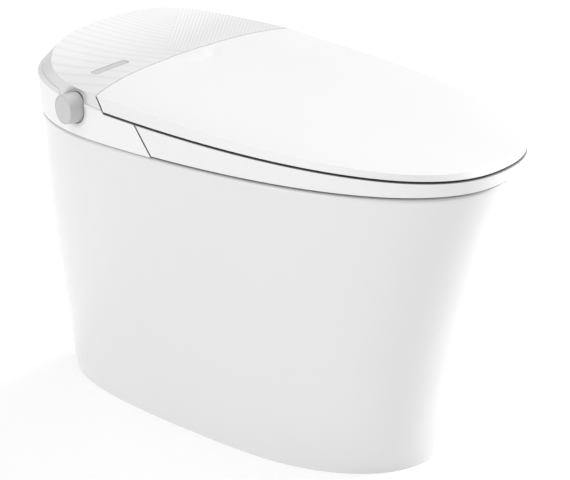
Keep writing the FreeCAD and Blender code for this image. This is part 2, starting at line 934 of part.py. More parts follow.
def tongue_zone(grow):
    """Round-ended release tongue of the rear cover, dipping under the parting line."""
    plane = height_plane(cover_parting_height, cover_parting_rise)
    z = plane(tongue_y) + tongue_radius - tongue_dip
    return cylinder(tongue_radius + grow, far, Vec(0, tongue_y, z), Vec(-1, 0, 0))


def rear_block(inset):
    """Solid rear housing behind the seat's seam, from the rim to the top."""
    body = upper_solid(inset)
    body = body.cut([seat_side(seat_seam_gap + inset), below_rim(gasket_thickness)])
    return body


def shelf_zone(inset):
    """What lies over the shelf and ahead of the lid's rear seam."""
    return above_gap(-lid_gap / 2.0 - inset).common(lid_side(lid_seam_gap + inset))


def make_lower_shell():
    body = rear_block(0.0).cut(shelf_zone(0.0))
    boss = knob_disc(knob_boss_radius - parting_line / 2.0, -30.0, 20.0)
    upper = above_parting(-parting_line / 2.0).cut(boss)
    ledge = above_gap(-lid_gap / 2.0).cut(above_parting(-parting_line / 2.0).fuse(boss))
    body = body.cut([upper, tongue_zone(parting_line / 2.0)])
    hollow = rear_block(shell_wall).cut(shelf_zone(shell_wall))
    body = body.cut(hollow)
    holes = [knob_disc(knob_radius + knob_gap, -30.0, 30.0),
             cylinder(inlet_radius + inlet_hole_gap, 60.0, Vec(inlet_x, outlet_to_back - 30.0, inlet_z),
                      Vec(0, 1, 0)),
             cylinder(gland_radius, 60.0, Vec(gland_x, outlet_to_back - 30.0, inlet_z), Vec(0, 1, 0))]
    return largest(body.cut(holes + arm_slots()))


def largest(shape):
    """The main solid, without loose slivers."""
    return max(shape.Solids, key=lambda solid: solid.Volume)


def make_rear_cover():
    body = rear_block(0.0).cut(lid_side(lid_seam_gap))
    boss = knob_disc(knob_boss_radius + parting_line / 2.0, -30.0, 20.0)
    keep = above_parting(parting_line / 2.0).fuse(tongue_zone(-parting_line / 2.0))
    body = body.common(keep).cut(boss)
    hollow = rear_block(shell_wall).cut(lid_side(lid_seam_gap + shell_wall))
    body = body.cut(hollow)
    body = body.cut([window_pocket(window_seat_gap, 0.0)] + arm_slots())
    return largest(body)


def window_pocket(grow, lift):
    """Rounded-end window outline carried down through the cover's top."""
    half = window_length / 2.0 + grow
    width = window_width + 2.0 * grow
    return rounded_block(window_x - half, window_x + half, window_y - width / 2.0, window_y + width / 2.0,
                         rim_height + 20.0 + lift, rim_height + 90.0, width / 2.0 - 0.01)


def make_display_window():
    pane = window_pocket(0.0, 0.0)
    return pane.common(upper_solid(window_sink)).cut(upper_solid(window_sink + window_thickness))


def make_display_board():
    z = edge_plane(window_y) - board_drop
    board = block(window_x - window_length / 2.0 - 6.0, window_x + window_length / 2.0 + 6.0,
                  window_y - board_front_margin, window_y + window_width, z, z + board_thickness)
    digits = block(window_x - window_length / 2.0 + 4.0, window_x + window_length / 2.0 - 4.0,
                   window_y - window_width / 2.0 + 1.0, window_y + window_width / 2.0 - 1.0,
                   z + board_thickness, z + board_thickness + 3.0)
    return board.fuse(digits)


base_low = rim_height + gasket_thickness
base_top = base_low + base_thickness


def base_outline_solid(inset, z_low, z_high):
    body = upper_solid(shell_wall + snug_gap + inset)
    body = body.cut(seat_side(seat_seam_gap + shell_wall + 2.0 * snug_gap + inset))
    return body.cut([above_rim(z_high - rim_height), below_rim(z_low - rim_height)])


def make_base_tray():
    """Base plate with the nozzle snout under it, hinge pillars and openings down to the well."""
    plate = base_outline_solid(0.0, base_low, base_top)
    left = bay_left_x + snout_gap
    right = bay_right_x - snout_gap
    back = bay_back_y - snout_gap
    low = rim_height - bay_depth + snout_gap
    roof = base_low - snout_roof_gap
    snout = block(left, right, snout_front_y, back, low, roof)
    snout = snout.fuse(block(left, right, snout_step_y, back, low, base_top))
    inside = block(left + snout_wall, right - snout_wall, snout_front_y + snout_wall, back - snout_wall,
                   low + snout_wall, roof - snout_wall)
    inside = inside.fuse(block(left + snout_wall, right - snout_wall, snout_step_y + snout_wall,
                               back - snout_wall, low + snout_wall, base_top + 1.0))
    pillars = []
    for x in hinge_boss_places:
        for side in (-1, 1):
            middle = side * x
            post = block(middle - hinge_boss_width / 2.0, middle + hinge_boss_width / 2.0,
                         hinge_y - hinge_eye_radius, hinge_y + hinge_eye_radius, base_low, hinge_z)
            head = along_x(hinge_eye_radius, middle - hinge_boss_width / 2.0,
                           middle + hinge_boss_width / 2.0, hinge_y, hinge_z)
            pillars.append(post.fuse(head))
    body = plate.fuse([snout] + pillars)
    dryer_way = block(duct_left_x - 1.0, duct_right_x + 1.0, snout_front_y - 1.0, snout_front_y + 10.0,
                      flap_low_z, flap_high_z)
    wand_way = cylinder(wand_radius + moving_gap, 60.0, nozzle_point(-20.0, 0.0), nozzle_axis)
    shaft = along_x(hinge_shaft_radius, -hinge_shaft_half_length - 1.0, hinge_shaft_half_length + 1.0,
                    hinge_y, hinge_z)
    cradle_way = block(-cradle_half_width - 1.0, cradle_half_width + 1.0, bay_back_y - 10.0, cradle_way_y,
                       base_low - cradle_way_depth, base_top + 1.0)
    well_way = rounded_block(-well_way_half_width, well_way_half_width, well_front_y + 60.0, well_back_y - 10.0,
                             base_low - 1.0, base_top + 1.0, 8.0)
    flush_way = cylinder(flush_pipe_radius + 1.0, 10.0, Vec(jet_x, flush_up_y, base_low - 1.0), Vec(0, 0, 1))
    jet_way = cylinder(flush_pipe_radius + 1.0, 10.0, Vec(jet_x, jet_y, base_low - 1.0), Vec(0, 0, 1))
    bolts = [cylinder(bolt_radius + snug_gap, 10.0, Vec(side * bolt_x, bolt_y, base_low - 1.0), Vec(0, 0, 1))
             for side in (-1, 1)]
    return body.cut([inside, dryer_way, wand_way, shaft, cradle_way, well_way, flush_way, jet_way] + bolts)


def make_base_gasket():
    """Flat seal between the ceramic deck and the base plate."""
    ring = base_outline_solid(gasket_inset, rim_height, base_low)
    middle = base_outline_solid(gasket_inset + gasket_width, rim_height - 1.0, base_low + 1.0)
    bay = block(bay_left_x - 2.0, bay_right_x + 2.0, -far, bay_back_y + 2.0, 0.0, far)
    return ring.cut([middle, bay])


def make_mounting_bolts():
    parts = []
    for side in (-1, 1):
        low = Vec(side * bolt_x, bolt_y, rim_height - deck_thickness - 14.0)
        shank = cylinder(bolt_radius, base_top - low.z, low, Vec(0, 0, 1))
        head = cylinder(2.0 * bolt_radius, 4.0, Vec(low.x, low.y, base_top), Vec(0, 0, 1))
        socket = cylinder(0.9 * bolt_radius, 3.0, Vec(low.x, low.y, base_top + 1.5), Vec(0, 0, 1))
        parts.append(shank.fuse(head).cut(socket))
    return Part.makeCompound(parts)


def make_mounting_plugs():
    """Rubber expanding plugs in the deck holes, round the bolts."""
    parts = []
    for side in (-1, 1):
        low = Vec(side * bolt_x, bolt_y, rim_height - deck_thickness - 12.0)
        body = cylinder(plug_radius, deck_thickness + 12.0, low, Vec(0, 0, 1))
        flare = Part.makeCone(plug_radius, plug_radius + 3.0, 10.0, low, Vec(0, 0, 1))
        bore = cylinder(bolt_radius, far, Vec(low.x, low.y, 0.0), Vec(0, 0, 1))
        parts.append(body.fuse(flare).cut(bore))
    return Part.makeCompound(parts)


# ---- knob ----

def make_knob_body():
    skirt = Part.makeCone(knob_radius, knob_nose_radius, knob_depth + knob_sink, Vec(0, 0, -knob_sink), Vec(0, 0, 1))
    rim = [edge for edge in skirt.Edges if edge.BoundBox.ZMin > knob_depth - 0.5]
    skirt = skirt.makeFillet(knob_edge_radius, rim)
    hollow = Part.makeCylinder(knob_radius - knob_shell - 1.0, knob_depth + knob_sink - knob_shell - knob_cap_thickness,
                               Vec(0, 0, -knob_sink - 0.01), Vec(0, 0, 1))
    hub = Part.makeCylinder(stem_radius + knob_shell, knob_depth - knob_cap_thickness, Vec(0, 0, 0), Vec(0, 0, 1))
    recess = Part.makeCylinder(knob_cap_radius + 0.1, knob_cap_thickness + 1.0,
                               Vec(0, 0, knob_depth - knob_cap_thickness), Vec(0, 0, 1))
    bore = Part.makeCylinder(stem_radius + hinge_bore_gap, stem_top, Vec(0, 0, 0), Vec(0, 0, 1))
    return knob_part(skirt.cut(hollow).fuse(hub).cut([recess, bore]).removeSplitter())


def make_knob_cap():
    cap = Part.makeCylinder(knob_cap_radius, knob_cap_thickness, Vec(0, 0, knob_depth - knob_cap_thickness),
                            Vec(0, 0, 1))
    edge = [rim for rim in cap.Edges if rim.BoundBox.ZMin > knob_depth - 0.1]
    return knob_part(cap.makeFillet(0.5, edge))


def make_knob_stem():
    return knob_disc(stem_radius, -stem_length, stem_top - 0.5)


def make_knob_backplate():
    """Disc behind the knob with a bush for the stem."""
    disc = Part.makeCylinder(knob_radius + knob_gap + 4.0, backplate_thickness,
                             Vec(0, 0, -backplate_depth), Vec(0, 0, 1))
    hole = Part.makeCylinder(stem_radius + snug_gap, 20.0, Vec(0, 0, -backplate_depth - 1.0), Vec(0, 0, 1))
    return knob_part(disc.cut(hole)).common(upper_solid(shell_wall + snug_gap))


def make_knob_encoder():
    half = encoder_size / 2.0
    low = -backplate_depth - encoder_depth
    case = Part.makeBox(encoder_size, encoder_size, encoder_depth, Vec(-half, -half, low))
    hole = Part.makeCylinder(stem_radius + snug_gap, stem_length - backplate_depth + knob_press + 1.0,
                             Vec(0, 0, -stem_length - knob_press - 1.0), Vec(0, 0, 1))
    return knob_part(case.cut(hole))


# ---- wash nozzle ----
slope = math.radians(nozzle_angle)
nozzle_axis = Vec(0, math.cos(slope), math.sin(slope))
nozzle_up = Vec(0, -math.sin(slope), math.cos(slope))


def nozzle_point(back, over):
    """A point given from the nozzle's exit: back along its axis and square over it."""
    exit_point = Vec(0, nozzle_exit_y, rim_height - nozzle_exit_drop)
    return exit_point + nozzle_axis * back + nozzle_up * over


def nozzle_place(shape):
    """Moves a shape drawn with Y back along the wand and Z square over it to the nozzle's exit."""
    turn = FreeCAD.Rotation(Vec(1, 0, 0), nozzle_angle)
    shape.Placement = FreeCAD.Placement(nozzle_point(0, 0), turn).multiply(shape.Placement)
    return shape


def make_nozzle_wand():
    tube = Part.makeCylinder(wand_radius, wand_length - tip_length, Vec(0, tip_length, 0), Vec(0, 1, 0))
    water = Part.makeCylinder(0.45 * wand_radius, wand_length, Vec(0, tip_length - 1.0, 0), Vec(0, 1, 0))
    flat = Part.makeBox(rack_width + 2.0 * snug_gap, far, wand_radius,
                        Vec(-rack_width / 2.0 - snug_gap, rack_start - snug_gap, rack_bed))
    return nozzle_place(tube.cut([water, flat]))


def make_nozzle_tip():
    tip = Part.makeCylinder(wand_radius, tip_length, Vec(0, 0, 0), Vec(0, 1, 0))
    front = [edge for edge in tip.Edges if edge.BoundBox.YMax < 0.1]
    tip = tip.makeFillet(2.5, front)
    jets = [Part.makeCylinder(1.2, far, Vec(0, tip_length * 0.42, 2.0), Vec(0, -0.25, 1)),
            Part.makeCylinder(1.2, far, Vec(0, tip_length * 0.70, 2.0), Vec(0, -0.25, 1))]
    return nozzle_place(tip.cut(jets))


def make_nozzle_shield():
    """Small round guard plate carried on the front of the tip."""
    plate = Part.makeCylinder(wand_radius + 1.0, shield_thickness, Vec(0, -shield_thickness, 0), Vec(0, 1, 0))
    return nozzle_place(plate)


def tooth_half_angle(radius):
    """Half the angle that an involute tooth fills at a radius."""
    pitch_radius = tooth_module * pinion_teeth / 2.0
    pressure = math.radians(pressure_angle)
    base = pitch_radius * math.cos(pressure)
    at_pitch = math.pi / (2.0 * pinion_teeth) - tooth_backlash / (2.0 * pitch_radius)
    local = math.acos(min(1.0, base / max(radius, base)))
    return at_pitch + (math.tan(pressure) - pressure) - (math.tan(local) - local)


pitch_radius = tooth_module * pinion_teeth / 2.0
tooth_top = 0.9 * tooth_module
tooth_foot = 1.2 * tooth_module
pinion_over = rack_bed + rack_height - tooth_top + pitch_radius


def make_nozzle_pinion():
    """Involute pinion and its spindle, one tooth pointing down into the rack."""
    points = []
    radii = [pitch_radius - tooth_foot + (tooth_top + tooth_foot) * step / flank_steps
             for step in range(flank_steps + 1)]
    for tooth in range(pinion_teeth):
        middle = -math.pi / 2.0 + 2.0 * math.pi * tooth / pinion_teeth
        left = [(radius, middle - tooth_half_angle(radius)) for radius in radii]
        right = [(radius, middle + tooth_half_angle(radius)) for radius in reversed(radii)]
        points += [(radius * math.cos(angle), radius * math.sin(angle)) for radius, angle in left + right]
    wire = Part.makePolygon([Vec(-pinion_width / 2.0, y, z) for y, z in points + points[:1]])
    gear = Part.Face(wire).extrude(Vec(pinion_width, 0, 0))
    spindle = Part.makeCylinder(spindle_radius, spindle_left + spindle_right, Vec(-spindle_left, 0, 0), Vec(1, 0, 0))
    pinion = gear.fuse(spindle)
    pinion.Placement = FreeCAD.Placement(Vec(0, rack_mesh, pinion_over), FreeCAD.Rotation())
    return nozzle_place(pinion)


def make_nozzle_rack():
    """Straight rack let into the wand's back, a gap under the pinion's lowest tooth."""
    pitch = math.pi * tooth_module
    lean = math.tan(math.radians(pressure_angle))
    pitch_z = rack_bed + rack_height - tooth_top
    half = pitch / 4.0 - tooth_backlash / 2.0
    foot_z = pitch_z - tooth_foot
    first = math.ceil((rack_start - rack_mesh) / pitch + 0.5)
    last = math.floor((wand_length - rack_mesh) / pitch - 0.5)
    profile = [(rack_start, rack_bed), (rack_start, foot_z)]
    for number in range(first, last):
        middle = rack_mesh + pitch * (number + 0.5)
        wide = half + tooth_foot * lean
        narrow = half - tooth_top * lean
        profile += [(middle - wide, foot_z), (middle - narrow, rack_bed + rack_height),
                    (middle + narrow, rack_bed + rack_height), (middle + wide, foot_z)]
    profile += [(wand_length - 1.0, foot_z), (wand_length - 1.0, rack_bed)]
    points = [Vec(-rack_width / 2.0, y, z) for y, z in profile]
    face = Part.Face(Part.makePolygon(points + points[:1]))
    return nozzle_place(face.extrude(Vec(rack_width, 0, 0)))


def make_nozzle_cradle():
    """Half-round channel that guides the wand, with two ears for the pinion's spindle."""
    channel_radius = wand_radius + snug_gap
    channel = Part.makeCylinder(channel_radius + cradle_wall, cradle_end - cradle_start,
                                Vec(0, cradle_start, 0), Vec(0, 1, 0))
    bed = Part.makeBox(2.0 * cradle_half_width, cradle_end - cradle_start, channel_radius + cradle_wall,
                       Vec(-cradle_half_width, cradle_start, -channel_radius - cradle_wall))
    bore = Part.makeCylinder(channel_radius, far, Vec(0, -50.0, 0), Vec(0, 1, 0))
    top = Part.makeBox(far, far, far, Vec(-far / 2.0, -far / 2.0, channel_lip))
    ears = []
    for x_low in (-cradle_half_width, cradle_half_width - ear_thickness):
        ears.append(Part.makeBox(ear_thickness, 2.0 * ear_half_length, pinion_over + ear_top_margin,
                                 Vec(x_low, rack_mesh - ear_half_length, 0)))
    spindle = Part.makeCylinder(spindle_radius + hinge_bore_gap, far, Vec(-far / 2.0, rack_mesh, pinion_over),
                                Vec(1, 0, 0))
    rack_way = Part.makeBox(rack_width + 2.0 * moving_gap, far, far,
                            Vec(-rack_width / 2.0 - moving_gap, -50.0, 0.0))
    body = channel.cut(top).fuse(bed).fuse(ears).cut([bore, spindle, rack_way])
    body = nozzle_place(body)
    foot = block(-cradle_half_width, cradle_half_width, cradle_way_y, cradle_foot_y, base_top, hinge_z)
    under = nozzle_place(Part.makeBox(far, far, far, Vec(-far / 2.0, -far / 2.0, -channel_radius - cradle_wall)))
    body = body.cut(block(-far, far, bay_back_y - 2.0 * snout_gap, far, 0.0, base_low - snug_gap))
    return body.fuse(foot.cut(under)).removeSplitter()


def make_nozzle_motor():
    """Small geared motor on the outer side of the cradle's left ear."""
    centre = nozzle_point(rack_mesh, pinion_over)
    right = -cradle_half_width - snug_gap
    body = cylinder(motor_radius, motor_length, Vec(right - motor_length, centre.y, centre.z), Vec(1, 0, 0))
    foot = block(right - motor_length + 2.0, right - 2.0, centre.y - 6.0, centre.y + 6.0, base_top, centre.z)
    hole = cylinder(spindle_radius + hinge_bore_gap, spindle_left, Vec(right - spindle_left + cradle_half_width,
                    centre.y, centre.z), Vec(1, 0, 0))
    return body.fuse(foot).cut(hole)


# ---- warm air dryer ----

def duct_section(inset, front_cut):
    """Side view of the air duct: level from the fan, then down into the snout."""
    top = base_top + duct_height - inset
    low = base_top + inset
    mouth_y = snout_front_y + snout_wall + snug_gap - front_cut
    fan_end_y = fan_y - fan_radius + 2.0 + front_cut
    return [(fan_end_y, top), (duct_bend_y - inset, top), (duct_dive_y - inset, flap_high_z - inset),
            (mouth_y, flap_high_z - inset), (mouth_y, flap_low_z + inset),
            (duct_dive_y + 28.0 - inset, flap_low_z + inset), (duct_bend_y + 21.0 - inset, low),
            (fan_end_y, low)]


def make_dryer_duct():
    outside = side_prism(duct_section(0.0, 0.0), duct_left_x, duct_right_x)
    inside = side_prism(duct_section(duct_wall, 5.0), duct_left_x + duct_wall, duct_right_x - duct_wall)
    fan = cylinder(fan_radius, far, Vec(fan_x, fan_y, 0.0), Vec(0, 0, 1))
    return outside.cut([inside, fan])


def make_dryer_flap():
    """Flap over the snout's air outlet, its pin along its top edge."""
    low = flap_low_z + snug_gap
    plate = block(duct_left_x + snug_gap, duct_right_x - snug_gap, flap_y - flap_thickness / 2.0,
                  flap_y + flap_thickness / 2.0, low, flap_pin_z)
    pin = along_x(flap_pin_radius, duct_left_x - 1.0 + snug_gap, duct_right_x + 1.0 - snug_gap, flap_y, flap_pin_z)
    return plate.fuse(pin).removeSplitter()


def make_fan_housing():
    """Flat scroll housing with an air inlet in its top and an outlet towards the duct."""
    low = base_top
    case = cylinder(fan_radius, fan_height, Vec(fan_x, fan_y, low), Vec(0, 0, 1))
    inside = cylinder(fan_radius - fan_wall, fan_height - 2.0 * fan_wall, Vec(fan_x, fan_y, low + fan_wall),
                      Vec(0, 0, 1))
    inlet = cylinder(fan_inlet_radius, 10.0, Vec(fan_x, fan_y, low + fan_height - 5.0), Vec(0, 0, 1))
    mouth = block(duct_left_x + duct_wall, duct_right_x - duct_wall, fan_y - fan_radius - 1.0, fan_y - fan_radius / 2.0,
                  base_top + duct_wall, base_top + duct_height - duct_wall)
    spindle = cylinder(spindle_radius, fan_height - fan_wall - 6.0, Vec(fan_x, fan_y, low), Vec(0, 0, 1))
    return case.cut([inside, inlet, mouth]).fuse(spindle)


def blade_wheel(x, y, z_low, height, outer_radius, blades):
    """Hub disc with a ring of straight leaning blades and a bore for its spindle."""
    hub = cylinder(outer_radius, 1.6, Vec(x, y, z_low), Vec(0, 0, 1))
    core = cylinder(spindle_radius + 2.5, height, Vec(x, y, z_low), Vec(0, 0, 1))
    pieces = [hub, core]
    for number in range(blades):
        blade = block(0.62 * outer_radius, 0.96 * outer_radius, -0.6, 0.6, 0.0, height)
        blade.rotate(Vec(0.62 * outer_radius, 0, 0), Vec(0, 0, 1), 22.0)
        blade.rotate(Vec(0, 0, 0), Vec(0, 0, 1), 360.0 * number / blades)
        blade.translate(Vec(x, y, z_low))
        pieces.append(blade)
    bore = cylinder(spindle_radius + hinge_bore_gap, height + 2.0, Vec(x, y, z_low - 1.0), Vec(0, 0, 1))
    return pieces[0].fuse(pieces[1:]).cut(bore).removeSplitter()


def make_fan_wheel():
    return blade_wheel(fan_x, fan_y, base_top + fan_wall + 1.0, fan_height - 2.0 * fan_wall - 4.0,
                       fan_radius - fan_wall - 2.0, 20)


def make_dryer_heater():
    """Frame with heating fins across the duct."""
    low = base_top + duct_wall
    high = base_top + duct_height - duct_wall
    left = duct_left_x + duct_wall
    right = duct_right_x - duct_wall
    y_low = duct_bend_y + 38.0
    frame = block(left, right, y_low, y_low + 12.0, low, high)
    frame = frame.cut(block(left + 1.5, right - 1.5, y_low - 1.0, y_low + 13.0, low + 1.5, high - 1.5))
    fins = [block(left + 1.0, right - 1.0, y_low + 1.0, y_low + 11.0, z, z + 0.6)
            for z in (low + 4.0, low + 7.0, low + 10.0)]
    return frame.fuse(fins).removeSplitter()


# ---- water side ----

inlet_thread_y = outlet_to_back + inlet_seat_gap
inlet_mouth_y = inlet_thread_y + inlet_thread_length
inlet_inner_y = inlet_mouth_y - inlet_length


def make_inlet_connector():
    """Threaded stub through the rear wall, drawn as a plain cylinder, with a hexagonal inner collar."""
    y_low = inlet_inner_y
    stub = cylinder(inlet_radius, inlet_thread_length, Vec(inlet_x, inlet_thread_y, inlet_z), Vec(0, 1, 0))
    neck = cylinder(inlet_radius - inlet_neck_step, inlet_thread_y - y_low,
                    Vec(inlet_x, y_low, inlet_z), Vec(0, 1, 0))
    corners = [Vec(inlet_x + hex_radius * math.cos(math.pi * k / 3.0), y_low - 6.0,
                   inlet_z + hex_radius * math.sin(math.pi * k / 3.0)) for k in range(7)]
    collar = Part.Face(Part.makePolygon(corners)).extrude(Vec(0, 7.0, 0))
    tail = cylinder(hose_radius - hose_wall, 8.0, Vec(inlet_x, y_low - 14.0, inlet_z), Vec(0, 1, 0))
    bore = cylinder(inlet_bore, far, Vec(inlet_x, y_low - 20.0, inlet_z), Vec(0, 1, 0))
    return stub.fuse([neck, collar, tail]).cut(bore).removeSplitter()


def make_inlet_strainer():
    """Cup-shaped water strainer seated in the inlet's mouth."""
    y_low = inlet_mouth_y - 13.0
    cup = cylinder(inlet_bore, 12.0, Vec(inlet_x, y_low, inlet_z), Vec(0, 1, 0))
    inside = cylinder(inlet_bore - 1.0, 12.0, Vec(inlet_x, y_low + 1.0, inlet_z), Vec(0, 1, 0))
    return cup.cut(inside)


def make_solenoid_valve():
    """Valve body with two coils on top and hose tails at its sides."""
    body = rounded_block(valve_x - 18.0, valve_x + 18.0, valve_y - 24.0, valve_y + 24.0,
                         base_top, base_top + 22.0, 4.0)
    coils = [cylinder(9.0, 14.0, Vec(valve_x, valve_y + shift, base_top + 22.0), Vec(0, 0, 1))
             for shift in (-12.0, 12.0)]
    return body.fuse(coils).removeSplitter()


def make_water_heater():
    """Flat instant heater with rounded corners and two pipe stubs."""
    body = rounded_block(heater_x - heater_half_width, heater_x + heater_half_width,
                         heater_y - heater_half_length, heater_y + heater_half_length,
                         base_top, base_top + heater_height, 6.0)
    return body


def supply_route():
    return [Vec(inlet_x, inlet_inner_y - 8.0, inlet_z),
            Vec(inlet_x, supply_turn_y, inlet_z), Vec(valve_x, supply_turn_y, inlet_z),
            Vec(valve_x, valve_y + 24.0, inlet_z)]


def make_supply_hose():
    return pipe(supply_route(), hose_bend, hose_radius, hose_wall)


def make_wash_hose():
    """Warm water hose from the heater to the cradle's rear union."""
    route = [Vec(heater_x, heater_y - heater_half_length, wash_hose_z),
             Vec(heater_x, wash_turn_y, wash_hose_z), Vec(wash_end_x, wash_turn_y, wash_hose_z),
             Vec(wash_end_x, wash_end_y, wash_hose_z)]
    return pipe(route, hose_bend, hose_radius - 1.0, hose_wall)


def make_flush_tank():
    body = rounded_block(tank_left_x, tank_right_x, well_front_y + 8.0, well_back_y - 8.0,
                         well_floor_height, tank_top, 14.0)
    inside = rounded_block(tank_left_x + shell_wall, tank_right_x - shell_wall, well_front_y + 8.0 + shell_wall,
                           well_back_y - 8.0 - shell_wall, well_floor_height + shell_wall,
                           tank_top - shell_wall, 11.0)
    return body.cut(inside)


def make_pump_body():
    """Round pump casing with a side outlet towards the flush pipe."""
    low = well_floor_height
    case = cylinder(pump_radius, pump_height, Vec(pump_x, pump_y, low), Vec(0, 0, 1))
    inside = cylinder(pump_radius - 3.0, pump_height - 6.0, Vec(pump_x, pump_y, low + 3.0), Vec(0, 0, 1))
    spindle = cylinder(spindle_radius, pump_height - 2.0, Vec(pump_x, pump_y, low), Vec(0, 0, 1))
    spout = cylinder(flush_pipe_radius, 24.0, Vec(jet_x, pump_y - 20.0, low + pump_height / 2.0), Vec(0, 1, 0))
    spout_bore = cylinder(flush_pipe_radius - 2.0, 30.0, Vec(jet_x, pump_y - 21.0, low + pump_height / 2.0),
                          Vec(0, 1, 0))
    return case.fuse(spout).cut([inside, spout_bore]).fuse(spindle)


def make_pump_motor():
    return cylinder(pump_motor_radius, pump_motor_height, Vec(pump_x, pump_y, well_floor_height + pump_height),
                    Vec(0, 0, 1))


def make_pump_wheel():
    return blade_wheel(pump_x, pump_y, well_floor_height + 5.0, pump_height - 11.0, pump_radius - 5.0, 7)


def make_flush_pipe():
    """From the pump's spout, up through the base plate, ahead and down into the ceramic deck."""
    spout_z = well_floor_height + pump_height / 2.0
    route = [Vec(jet_x, pump_y - 20.0, spout_z), Vec(jet_x, flush_up_y, spout_z),
             Vec(jet_x, flush_up_y, flush_over_z), Vec(jet_x, jet_y, flush_over_z),
             Vec(jet_x, jet_y, rim_height - 6.0)]
    return pipe(route, flush_bend, flush_pipe_radius, 2.0)


# ---- electronics ----

def make_control_case():
    body = rounded_block(-control_right - control_width, -control_right, control_y, control_y + control_length,
                         base_top, base_top + control_height, 4.0)
    inside = rounded_block(-control_right - control_width + 2.0, -control_right - 2.0, control_y + 2.0,
                           control_y + control_length - 2.0, base_top + 2.0, base_top + control_height - 2.0, 2.0)
    return body.cut(inside)


def make_control_board():
    z = base_top + 8.0
    board = block(-control_right - control_width + 4.0, -control_right - 4.0, control_y + 4.0,
                  control_y + control_length - 4.0, z, z + board_thickness)
    posts = []
    for x in (-control_right - control_width + 9.0, -control_right - 9.0):
        for y in (control_y + 9.0, control_y + control_length - 9.0):
            posts.append(cylinder(3.0, z - base_top - 2.0, Vec(x, y, base_top + 2.0), Vec(0, 0, 1)))
    chips = [block(-control_right - 40.0, -control_right - 22.0, control_y + 14.0, control_y + 32.0,
                   z + board_thickness, z + board_thickness + 3.0),
             block(-control_right - 62.0, -control_right - 48.0, control_y + 12.0, control_y + 40.0,
                   z + board_thickness, z + board_thickness + 12.0)]
    return board.fuse(posts + chips)


def make_cable_gland():
    """Power inlet gland in the rear wall; it holds the lead, which is not shown."""
    wall_y = outlet_to_back - gland_inset
    body = cylinder(gland_radius, 16.0, Vec(gland_x, wall_y - 10.0, inlet_z), Vec(0, 1, 0))
    flange = cylinder(gland_radius + 3.0, 3.0, Vec(gland_x, wall_y - 13.0, inlet_z), Vec(0, 1, 0))
    bore = cylinder(gland_bore, 40.0, Vec(gland_x, wall_y - 20.0, inlet_z), Vec(0, 1, 0))
    return body.fuse(flange).cut(bore)


def make_seat_sensor():
    """Contact sensor on the seat's lower plate."""
    return rounded_block(120.0, 150.0, -190.0, -150.0, seat_plate_top, seat_plate_top + 6.0, 4.0)


nodes = {
    "ceramic_skirt": make_ceramic_skirt,
    "ceramic_deck": make_ceramic_deck,
    "ceramic_bowl": make_ceramic_bowl,
    "ceramic_sump": make_ceramic_sump,
    "ceramic_trap": make_ceramic_trap,
    "outlet_seal": make_outlet_seal,
    "seat_top_shell": make_seat_top_shell,
    "seat_lower_plate": make_seat_lower_plate,
    "seat_heater_foil": make_seat_heater_foil,
    "seat_buffers": make_seat_buffers,
    "seat_sensor": make_seat_sensor,
    "seat_hinge_arm_left": lambda: make_seat_arm(-seat_arm_x),
    "seat_hinge_arm_right": lambda: make_seat_arm(seat_arm_x),
    "lid_outer_shell": make_lid_outer_shell,
    "lid_liner": make_lid_liner,
    "lid_buffers": make_lid_buffers,
    "lid_hinge_arm_left": lambda: make_lid_arm(-lid_arm_x),
    "lid_hinge_arm_right": lambda: make_lid_arm(lid_arm_x),
    "hinge_shaft": make_hinge_shaft,
    "soft_close_damper_left": lambda: make_damper(-1),
    "soft_close_damper_right": lambda: make_damper(1),
    "housing_lower_shell": make_lower_shell,
    "housing_rear_cover": make_rear_cover,
    "display_window": make_display_window,
    "display_board": make_display_board,
    "base_tray": make_base_tray,
    "base_gasket": make_base_gasket,
    "mounting_bolts": make_mounting_bolts,
    "mounting_plugs": make_mounting_plugs,
    "knob_body": make_knob_body,
    "knob_face_cap": make_knob_cap,
    "knob_stem": make_knob_stem,
    "knob_backplate": make_knob_backplate,
    "knob_encoder": make_knob_encoder,
    "nozzle_wand": make_nozzle_wand,
    "nozzle_tip": make_nozzle_tip,
    "nozzle_shield": make_nozzle_shield,
    "nozzle_rack": make_nozzle_rack,
    "nozzle_pinion": make_nozzle_pinion,
    "nozzle_cradle": make_nozzle_cradle,
    "nozzle_motor": make_nozzle_motor,
    "dryer_duct": make_dryer_duct,
    "dryer_flap": make_dryer_flap,
    "dryer_heater": make_dryer_heater,
    "dryer_fan_housing": make_fan_housing,
    "dryer_fan_wheel": make_fan_wheel,
    "inlet_connector": make_inlet_connector,
    "inlet_strainer": make_inlet_strainer,
    "solenoid_valve": make_solenoid_valve,
    "water_heater": make_water_heater,
    "supply_hose": make_supply_hose,
    "wash_hose": make_wash_hose,
    "flush_tank": make_flush_tank,
    "flush_pump_body": make_pump_body,
    "flush_pump_motor": make_pump_motor,
    "flush_pump_wheel": make_pump_wheel,
    "flush_pipe": make_flush_pipe,
    "control_case": make_control_case,
    "control_board": make_control_board,
    "cable_gland": make_cable_gland,
}

os.makedirs("parts", exist_ok=True)
for name, make in nodes.items():
    shape = make()
    shape.exportStep("parts/" + name + ".step")
    box = shape.BoundBox
    print(name, len(shape.Solids), shape.isValid(), round(shape.Volume),
          [round(v, 1) for v in (box.XMin, box.XMax, box.YMin, box.YMax, box.ZMin, box.ZMax)])
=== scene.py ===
import math

import bpy
from bpy.props import FloatProperty, FloatVectorProperty, PointerProperty
from mathutils import Matrix, Vector

bl_info = {
    "name": "Heated seat toilet",
    "version": (1, 0, 0),
    "blender": (4, 5, 0),
    "location": "View3D > Sidebar > Toilet",
    "description": "Surfaces, finishes, floor, light and camera for a toilet with a heated seat",
    "category": "Object",
}

